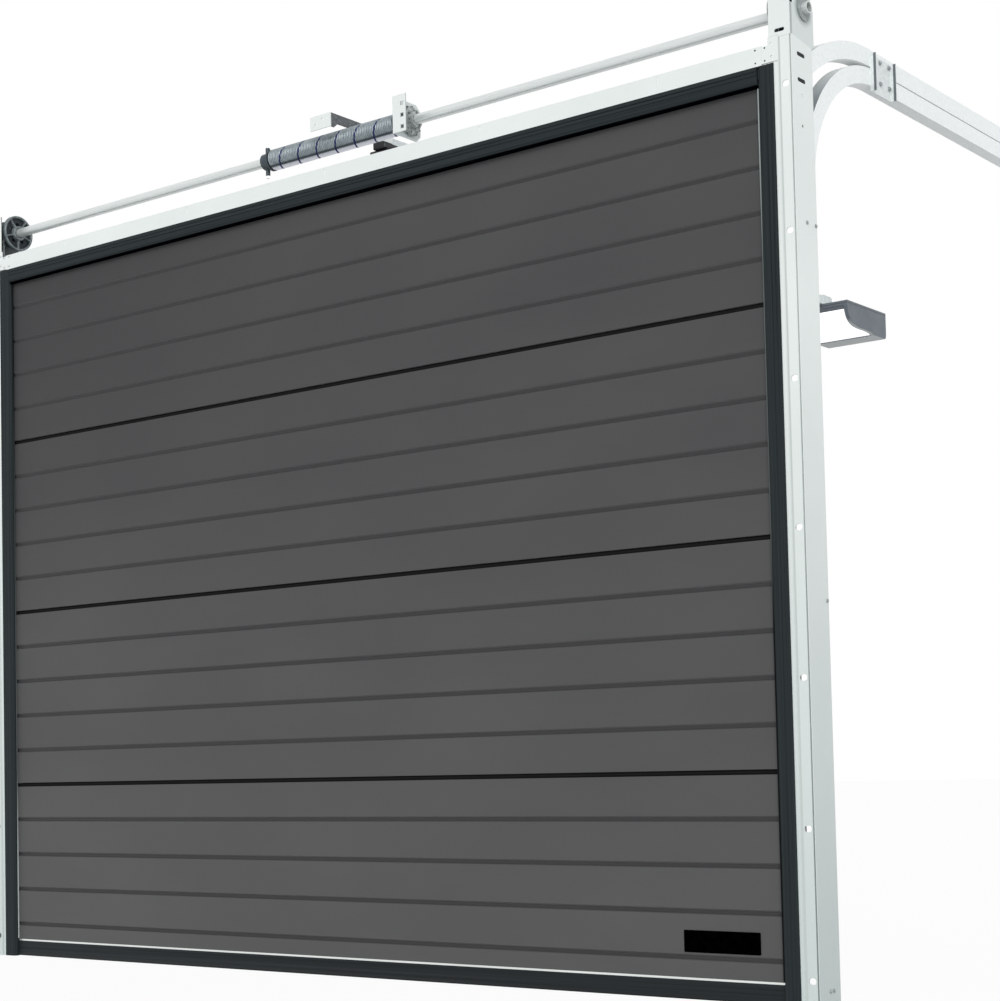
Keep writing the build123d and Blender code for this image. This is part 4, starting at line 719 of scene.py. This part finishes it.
# along a spoke: distance from the middle line, half the foot's width, height off the face
SPOKE_SECTIONS = ((0.0212, 0.0036, 0.0075), (0.0340, 0.0026, 0.0050), (0.0460, 0.0034, 0.0055))
SPOKE_COUNT = 5
FIRST_SPOKE = 126
form = bmesh.new()
for profile, sides in ((RIM_PROFILE, 48), (BOSS_PROFILE, 32)):
    around = [2 * pi * i / sides for i in range(sides)]
    skin(form, [[form.verts.new(round_the_shaft(DRUM_FACE - height, angle, radius)) for angle in around]
                for radius, height in profile], closed=True)
for spoke in range(SPOKE_COUNT):
    angle = radians(FIRST_SPOKE + 360 / SPOKE_COUNT * spoke)
    over = Vector((0, -sin(angle), cos(angle)))
    sections = []
    for reach, half, height in SPOKE_SECTIONS:
        middle = round_the_shaft(DRUM_FACE, angle, reach)
        outline = ((-half, 0), (-half * 0.6, height), (half * 0.6, height), (half, 0))
        sections.append([form.verts.new(middle + over * a - Vector((b, 0, 0))) for a, b in outline])
    skin(form, sections)
both_sides(form)
rib_casting = plain_finish("rib_casting", 0.5, (92, 101, 104), (134, 142, 144),
                           patch=0.008, grain=0.003, depth=0.0003, metallic=0.4, edge=0.0008)
stand_up("drum_ribs", form, rib_casting, "counterbalance_shaft")


# Set screws: square headed, hardened and plated, two in the neck of each drum and two in
# the winding cone. They bite into the shaft and turn with it.
DRUM_NECK = 1.314
DRUM_SCREW = ((0.0028, 0), (0.0028, 0.003), (0.0040, 0.003), (0.0040, 0.008))
CONE_NECK = -0.2530
CONE_SCREW = ((0.0035, 0), (0.0035, 0.002), (0.0050, 0.002), (0.0050, 0.008))
form = bmesh.new()
for x, seat_radius, degrees_round, profile in ((DRUM_NECK, 0.0199, (70, 190), DRUM_SCREW),
                                               (-DRUM_NECK, 0.0199, (70, 190), DRUM_SCREW),
                                               (CONE_NECK, 0.0360, (90, 270), CONE_SCREW)):
    for degrees in degrees_round:
        angle = radians(degrees)
        seat = round_the_shaft(x, angle, seat_radius)
        turned(form, seat, (0, cos(angle), sin(angle)), profile, 4)
stand_up("set_screws", form, bright_zinc, "counterbalance_shaft")


# Ratchet wheel of the spring break device: teeth cut from plate, plated pale and locked on
# the shaft beside the spring bracket. Grease on it has caught dark dust.
pale_plate, tree, shader = new_finish("pale_zinc_plate", 0.42, 0.2)
grime = cloud(tree, 0.009, 4.0)
lay_on(tree, shader, tones(tree, grime, (0.36, paint(70, 76, 78)), (0.46, paint(146, 152, 152)),
                           (0.7, paint(186, 191, 190))))
relief(tree, shader, grime, 0.0004, 0.0005)
dress(pale_plate, "zinc_steel", "ratchet_wheel")


# Lift cables: 3 mm wire rope, six strands laid round a core, pulled tight from each drum
# down to the pin on the bottom bracket. The strands show as a slow twist.
STRANDS = 6
STRAND_SIDES = 3
STRAND_DEPTH = 0.16
ROPE_HALF = 0.0015
ROPE_RADIUS = 0.00145
LAY_LENGTH = 0.030
RINGS_TO_A_LAY = 7
rope_steel = plain_finish("rope_steel", 0.38, (128, 134, 138), (176, 180, 180),
                          patch=0.004, grain=0.0006, depth=0.00005, metallic=0.8)
low_end, high_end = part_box("lift_cables")
form = bmesh.new()
for side in (1, -1):
    x = side * (high_end.x - ROPE_HALF)
    start = Vector((x, low_end.y + ROPE_HALF, high_end.z))
    end = Vector((x, high_end.y - ROPE_HALF, low_end.z))
    run = end - start
    turn = run.normalized().to_track_quat("Z", "X").to_matrix()
    steps = int(run.length / LAY_LENGTH * RINGS_TO_A_LAY)
    rings = []
    for step in range(steps + 1):
        middle = start + run * step / steps
        twist = run.length * step / steps / LAY_LENGTH * 2 * pi
        ring = []
        for i in range(STRANDS * STRAND_SIDES):
            angle = 2 * pi * i / (STRANDS * STRAND_SIDES)
            radius = ROPE_RADIUS * (1 - STRAND_DEPTH + STRAND_DEPTH * cos(STRANDS * angle))
            offset = Vector((radius * cos(angle + twist), radius * sin(angle + twist), 0))
            ring.append(form.verts.new(middle + turn @ offset))
        rings.append(ring)
    skin(form, rings)
ropes = stand_up("wire_ropes", form, rope_steel, crease=80)
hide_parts("lift_cables")


# Torsion spring: 5.5 mm oil tempered wire wound coil on coil round the two cones. The line
# chalked along it before winding now runs round it and tells the turns put in.
STRIPE_PITCH = 0.0650
STRIPE_START = 0.37
STRIPE_SHARE = 0.085
SHADOW_LINE_BEARING = -2.21
SHADOW_LINE_EDGE, SHADOW_LINE_CORE = 0.20, 0.06
spring_steel, tree, shader = new_finish("tempered_wire", 0.4, 0.6)
tone = cloud(tree, 0.012)
wire = two_tone(tree, tone, paint(128, 138, 143), paint(156, 165, 169))
bearing = reckon(tree, "ARCTAN2", reckon(tree, "SUBTRACT", along(tree, "Z"), AXIS_Z),
                 reckon(tree, "SUBTRACT", along(tree, "Y"), AXIS_Y))
# a painted shadow line runs low along the coils, and the underside below it is painted bright as painted
# reflected light
reflected_light_band = between(tree, bearing, (SHADOW_LINE_BEARING, SHADOW_LINE_BEARING + SHADOW_LINE_EDGE), (-0.6, -1.0))
wire = mixed(tree, reflected_light_band, wire, paint(222, 224, 232))
shadow_line = fade(tree, off_mark(tree, bearing, SHADOW_LINE_BEARING), SHADOW_LINE_EDGE, SHADOW_LINE_CORE)
wire = mixed(tree, shadow_line, wire, paint(82, 90, 96))
turns = reckon(tree, "MULTIPLY", bearing, 1 / (2 * pi))
travel = reckon(tree, "ADD", reckon(tree, "MULTIPLY", along(tree, "X"), 1 / STRIPE_PITCH), STRIPE_START)
round_and_on = reckon(tree, "FRACT", reckon(tree, "ADD", travel, turns))
stripe = reckon(tree, "LESS_THAN", round_and_on, STRIPE_SHARE)
lay_on(tree, shader, mixed(tree, stripe, wire, paint(30, 40, 92)), spread(tree, tone, 0.32, 0.5))
relief(tree, shader, cloud(tree, 0.001), 0.00005)

WIRE_RADIUS = 0.00275
WIRE_GAP_SHARE = 0.985
WIRE_SIDES = 8
COIL_STEPS = 28
low_end, high_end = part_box("spring")
coil_radius = (high_end.z - low_end.z) / 2 - WIRE_RADIUS
coil_start = low_end.x + WIRE_RADIUS
coil_count = int((high_end.x - low_end.x) / (2 * WIRE_RADIUS)) - 1
coil_pitch = (high_end.x - low_end.x - 2 * WIRE_RADIUS) / coil_count
form = bmesh.new()
rings = []
for step in range(coil_count * COIL_STEPS + 1):
    angle = 2 * pi * step / COIL_STEPS
    out = Vector((0, cos(angle), sin(angle)))
    middle = round_the_shaft(coil_start + coil_pitch * step / COIL_STEPS, angle, coil_radius)
    ring = []
    for i in range(WIRE_SIDES):
        round_wire = 2 * pi * i / WIRE_SIDES
        offset = out * cos(round_wire) + Vector((1, 0, 0)) * sin(round_wire)
        ring.append(form.verts.new(middle + offset * WIRE_RADIUS * WIRE_GAP_SHARE))
    rings.append(ring)
skin(form, rings)
coil = stand_up("spring_coil", form, spring_steel, crease=80)
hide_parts("spring")


# Cone bolts: two plated bolts that clamp the flange of the fixed cone to the spring
# bracket, their heads towards the spring and their ends flush behind the bracket.
CONE_FLANGE_FACE = 0.2250
BRACKET_BACK = 0.2325
CONE_BOLT_CIRCLE = 0.0280
CONE_BOLT_FLATS = 0.008
CONE_BOLT_END = ((0.003, 0), (0.003, 0.002))
form = bmesh.new()
for angle in (0, pi):
    head_seat = round_the_shaft(CONE_FLANGE_FACE, angle, CONE_BOLT_CIRCLE)
    hex_bolt(form, head_seat, (-1, 0, 0), CONE_BOLT_FLATS)
    end_seat = round_the_shaft(BRACKET_BACK, angle, CONE_BOLT_CIRCLE)
    turned(form, end_seat, (1, 0, 0), CONE_BOLT_END, 16)
stand_up("cone_bolts", form, bright_zinc)


# Rollers: nylon tyres moulded on a ball race, each on a plated pin through its hinge.
# They run inside the tracks and carry the leaf.
nylon = plain_finish("roller_nylon", 0.45, (206, 204, 196), (222, 221, 214),
                     patch=0.006, grain=0.001, depth=0.00008, edge=0.0008)
dress(nylon, "nylon", "rollers")


# Hinge screws: flanged hexagon sheet metal screws, four to each hinge, driven through
# the inner skin into the reinforcing strip under it.
HINGE_SCREW_FLATS = 0.0075
HINGE_SCREW_RISES = (-0.048, -0.028, 0.028, 0.048)
SIDE_HINGE_COLUMNS = (1.230, 1.254)
MIDDLE_HINGE_COLUMN = 0.011
SIDE_HINGE_FACE = 0.060
MIDDLE_HINGE_FACE = 0.0585
BOTTOM_BRACKET_ROWS = (0.072, 0.164)
TOP_CARRIER_ROWS = (1.872, 1.910)
TOP_CARRIER_COLUMNS = (1.232, 1.252)


def hinge_screw(form, x, y, height):
    hex_bolt(form, (x, y, up(height)), (0, 1, 0), HINGE_SCREW_FLATS)


form = bmesh.new()
for seam in SEAM_HEIGHTS:
    for rise in HINGE_SCREW_RISES:
        for x in SIDE_HINGE_COLUMNS:
            hinge_screw(form, x, SIDE_HINGE_FACE, seam + rise)
        hinge_screw(form, MIDDLE_HINGE_COLUMN, MIDDLE_HINGE_FACE, seam + rise)
for rows, columns in ((BOTTOM_BRACKET_ROWS, SIDE_HINGE_COLUMNS), (TOP_CARRIER_ROWS, TOP_CARRIER_COLUMNS)):
    for height in rows:
        for x in columns:
            hinge_screw(form, x, SIDE_HINGE_FACE, height)
both_sides(form)
stand_up("hinge_screws", form, bright_zinc)


# Opener rail and trolley: a rolled galvanised channel hung from the header bracket, and
# the black moulded carriage that slides in it and pulls the door arm.
dress(galvanised, "zinc_steel", "opener_rail")
moulded_black = plain_finish("moulded_black", 0.5, (26, 27, 29), (38, 39, 41),
                             patch=0.02, grain=0.0009, depth=0.0001, edge=0.0008)
dress(moulded_black, "black_plastic", "trolley")


# Rail end cover: a black moulded cap over the front end of the rail and the mouth under
# it, with a flap turned up beside the rail. Three push rivets hold it from below.
def ribbon(form, path, low, high, thick):
    # a bent strip of even thickness, its path drawn in Y and Z, from one X to the other
    outer = [Vector((0, y, z)) for y, z in path]
    inner = []
    for i, point in enumerate(outer):
        before = (point - outer[i - 1]).normalized() if i else (outer[1] - point).normalized()
        after = (outer[i + 1] - point).normalized() if i + 1 < len(outer) else before
        ahead = (before + after).normalized()
        inner.append(point + Vector((0, -ahead.z, ahead.y)) * thick)
    outline = outer + inner[::-1]
    ends = [[form.verts.new((x, point.y, point.z)) for point in outline] for x in (low, high)]
    for i in range(len(outline)):
        j = (i + 1) % len(outline)
        form.faces.new((ends[0][i], ends[0][j], ends[1][j], ends[1][i]))
    for i in range(len(path) - 1):
        j = len(outline) - 2 - i
        for ring in ends:
            form.faces.new((ring[i], ring[i + 1], ring[j], ring[j + 1]))


COVER_GAP = 0.0002
COVER_WALL = 0.0014
COVER_LEAD = 0.0016
COVER_BEND = 0.003
COVER_LENGTH = 0.056
FLAP_WALL = 0.0012
FLAP_HEIGHT = 0.0130
FLAP_FOOT, FLAP_TOP = 0.0555, 0.0520
PUSH_RIVET = ((0.004, 0), (0.004, 0.0006), (0.0034, 0.0010))
PUSH_RIVETS_AT = (0.012, 0.030, 0.048)
RIVET_BITE = 0.0001
low_end, high_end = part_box("opener_rail")
front, under = low_end.y - COVER_GAP, low_end.z - COVER_GAP
nose, belly = front - COVER_LEAD, under - COVER_WALL
bend = []
for a in (0, 22, 45, 68, 90):
    bend.append((nose + COVER_BEND * (1 - cos(radians(a))), belly + COVER_BEND * (1 - sin(radians(a)))))
form = bmesh.new()
path = [(nose, high_end.z), *bend, (front + COVER_LENGTH, belly)]
ribbon(form, path, low_end.x, high_end.x - COVER_GAP, COVER_WALL)
flap = ((front, under), (front + FLAP_FOOT, under),
        (front + FLAP_TOP, under + FLAP_HEIGHT), (front, under + FLAP_HEIGHT))
drawn_between(form, flap, high_end.x + COVER_GAP, high_end.x + COVER_GAP + FLAP_WALL)
for y in PUSH_RIVETS_AT:
    seat = ((low_end.x + high_end.x) / 2, front + y, belly + RIVET_BITE)
    turned(form, seat, (0, 0, -1), PUSH_RIVET, 18)
stand_up("rail_end_cover", form, moulded_black)


# Motor head: a housing of moulded grey plastic in two halves, hung under the rail's end. The seam of its
# lid shows as a fine line, and its underside is painted paler as painted light from the lamp.
LID_SEAM = 2.1375
SEAM_EDGE, SEAM_CORE = 0.0018, 0.0008
moulded_grey, tree, shader = new_finish("moulded_grey", 0.5)
shade = two_tone(tree, cloud(tree, 0.05), paint(93, 101, 109), paint(103, 111, 118))
# faces that look down are painted paler: painted light from the lamp
shade = mixed(tree, turned_to(tree, (0, 0, -1), 0.7, 0.95), shade, paint(172, 176, 177))
seam_line = fade(tree, off_mark(tree, along(tree, "Z"), up(LID_SEAM)), SEAM_EDGE, SEAM_CORE)
not_under = reckon(tree, "SUBTRACT", 1.0, turned_to(tree, (0, 0, -1)))
shade = mixed(tree, both(tree, seam_line, not_under), shade, paint(58, 63, 68))
lay_on(tree, shader, shade, spread(tree, cloud(tree, 0.02), 0.42, 0.56))
relief(tree, shader, cloud(tree, 0.0008), 0.00012, 0.002)
dress(moulded_grey, "grey_plastic", "motor_head")


# Rail clip screws: four plated screws with pressed rims, through the ears of the clip that
# ties the rail to the motor head.
EAR_INSET = 0.014
EAR_THICK = 0.003
CLIP_SCREW_FLATS, CLIP_SCREW_STUB = 0.008, 0.001
low_end, high_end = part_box("rail_clip")
form = bmesh.new()
for x in (low_end.x + EAR_INSET, high_end.x - EAR_INSET):
    for y in (low_end.y + EAR_INSET, high_end.y - EAR_INSET):
        seat = (x, y, low_end.z + EAR_THICK)
        hex_bolt(form, seat, (0, 0, 1), CLIP_SCREW_FLATS, CLIP_SCREW_STUB)
stand_up("rail_clip_screws", form, bright_zinc)


# Lamp cover: a thin white moulding snapped into the housing, lit from inside. Its top edge
# is masked grey, where it lies behind the housing's wall.
GREY_BAND = 2.1155
BAND_EDGE = 0.0004
lamp_cover, tree, shader = new_finish("lamp_cover", 0.35)
shade = two_tone(tree, cloud(tree, 0.05), paint(248, 250, 250), paint(255, 255, 255))
band = fade(tree, along(tree, "Z"), up(GREY_BAND), up(GREY_BAND + BAND_EDGE))
lay_on(tree, shader, mixed(tree, band, shade, paint(96, 103, 110)))
lit = mixed(tree, reckon(tree, "SUBTRACT", 1.0, band), paint(0, 0, 0), paint(255, 255, 255))
tree.links.new(lit, shader.inputs["Emission Color"])
shader.inputs["Emission Strength"].default_value = 0.6
shader.inputs["Subsurface Weight"].default_value = 0.2
shader.inputs["Subsurface Radius"].default_value = (0.01, 0.01, 0.01)
relief(tree, shader, cloud(tree, 0.003), 0.0002, 0.002)
dress(lamp_cover, "lamp_plastic", "motor_lamp")


# Floor: a plain pale sheet just under the door. To the eye it is nearly as white as the
# backdrop, and it keeps the door's own shadow.
FLOOR_REACH = 40.0
FLOOR_DROP = 0.0005
FLOOR_GLOW = 0.93


def seen_directly(tree):
    # 1 where the eye, a reflection or a clear piece looks, 0 for the light that falls
    path = add_node(tree, "LightPath").outputs
    seen = reckon(tree, "MAXIMUM", path["Is Camera Ray"], path["Is Glossy Ray"])
    return reckon(tree, "MAXIMUM", seen, path["Is Transmission Ray"])


def lit_and_seen(tree, share, lit, seen, output):
    # one shader for the light that falls, mixed by the share with one for the eye
    mix = tree.nodes.new("ShaderNodeMixShader")
    for place, source in enumerate((share, lit.outputs[0], seen.outputs[0])):
        tree.links.new(source, mix.inputs[place])
    out = tree.nodes.new("ShaderNodeOutput" + output)
    tree.links.new(mix.outputs[0], out.inputs["Surface"])


floor_mesh = bpy.data.meshes.new("floor")
corners = []
for x, y in ((-1, -1), (1, -1), (1, 1), (-1, 1)):
    corners.append((FLOOR_REACH * x, FLOOR_REACH * y, up(-FLOOR_DROP)))
floor_mesh.from_pydata(corners, [], [(0, 1, 2, 3)])
floor = bpy.data.objects.new("floor", floor_mesh)
bpy.context.scene.collection.objects.link(floor)
floor_pale = bpy.data.materials.new("floor_pale")
floor_pale.use_nodes = True
tree = floor_pale.node_tree
tree.nodes.clear()
matt = add_node(tree, "BsdfDiffuse", Color=(0.86, 0.86, 0.86, 1))
glow = add_node(tree, "Emission", Color=(1, 1, 1, 1), Strength=1.0)
lit_and_seen(tree, reckon(tree, "MULTIPLY", seen_directly(tree), FLOOR_GLOW), matt, glow, "Material")
floor_mesh.materials.append(floor_pale)


# Light: an even studio fill from all round with a white backdrop, and one wide soft lamp
# from high on the right in front of the door.
FILL_STRENGTH = 0.62
KEY_STRENGTH = 1.5
KEY_TOWARDS = (-0.55, 0.75, -0.45)
KEY_SPREAD = 30
world = bpy.data.worlds.new("studio")
bpy.context.scene.world = world
world.use_nodes = True
tree = world.node_tree
tree.nodes.clear()
fill = add_node(tree, "Background", Color=(0.96, 0.98, 1.0, 1), Strength=FILL_STRENGTH)
backdrop = add_node(tree, "Background", Color=(1, 1, 1, 1), Strength=1.0)
lit_and_seen(tree, seen_directly(tree), fill, backdrop, "World")

key_light = bpy.data.lights.new("key_light", "SUN")
key_light.energy = KEY_STRENGTH
key_light.angle = radians(KEY_SPREAD)
key_holder = bpy.data.objects.new("key_light", key_light)
key_holder.rotation_mode = "QUATERNION"
key_holder.rotation_quaternion = Vector(KEY_TOWARDS).to_track_quat("-Z", "Y")
bpy.context.scene.collection.objects.link(key_holder)
bpy.context.scene.view_settings.view_transform = "Standard"


# Camera: where the picture was taken from, low and to the right of the door. The picture
# is a crop of a wider one, so the lens is shifted.
EYE_PLACE = (3.3080, -3.6836, -1.4988)
TURN_LEFT = 38.528
TILT_UP = 2.960
LEAN = 1.204
eye = bpy.data.cameras.new("eye")
eye.sensor_fit = "HORIZONTAL"
eye.sensor_width = 36.0
eye.lens = 70.99
eye.shift_x = 0.050
eye.shift_y = 0.1656
eye.clip_start = 0.1
eye.clip_end = 200.0
stand = bpy.data.objects.new("eye", eye)
aim = (Matrix.Rotation(radians(TURN_LEFT), 4, "Z") @ Matrix.Rotation(radians(TILT_UP), 4, "X")
       @ Matrix.Rotation(radians(LEAN), 4, "Y") @ Matrix.Rotation(radians(90), 4, "X"))
stand.matrix_world = Matrix.Translation(EYE_PLACE) @ aim
bpy.context.scene.collection.objects.link(stand)
bpy.context.scene.camera = stand

bpy.context.view_layer.update()
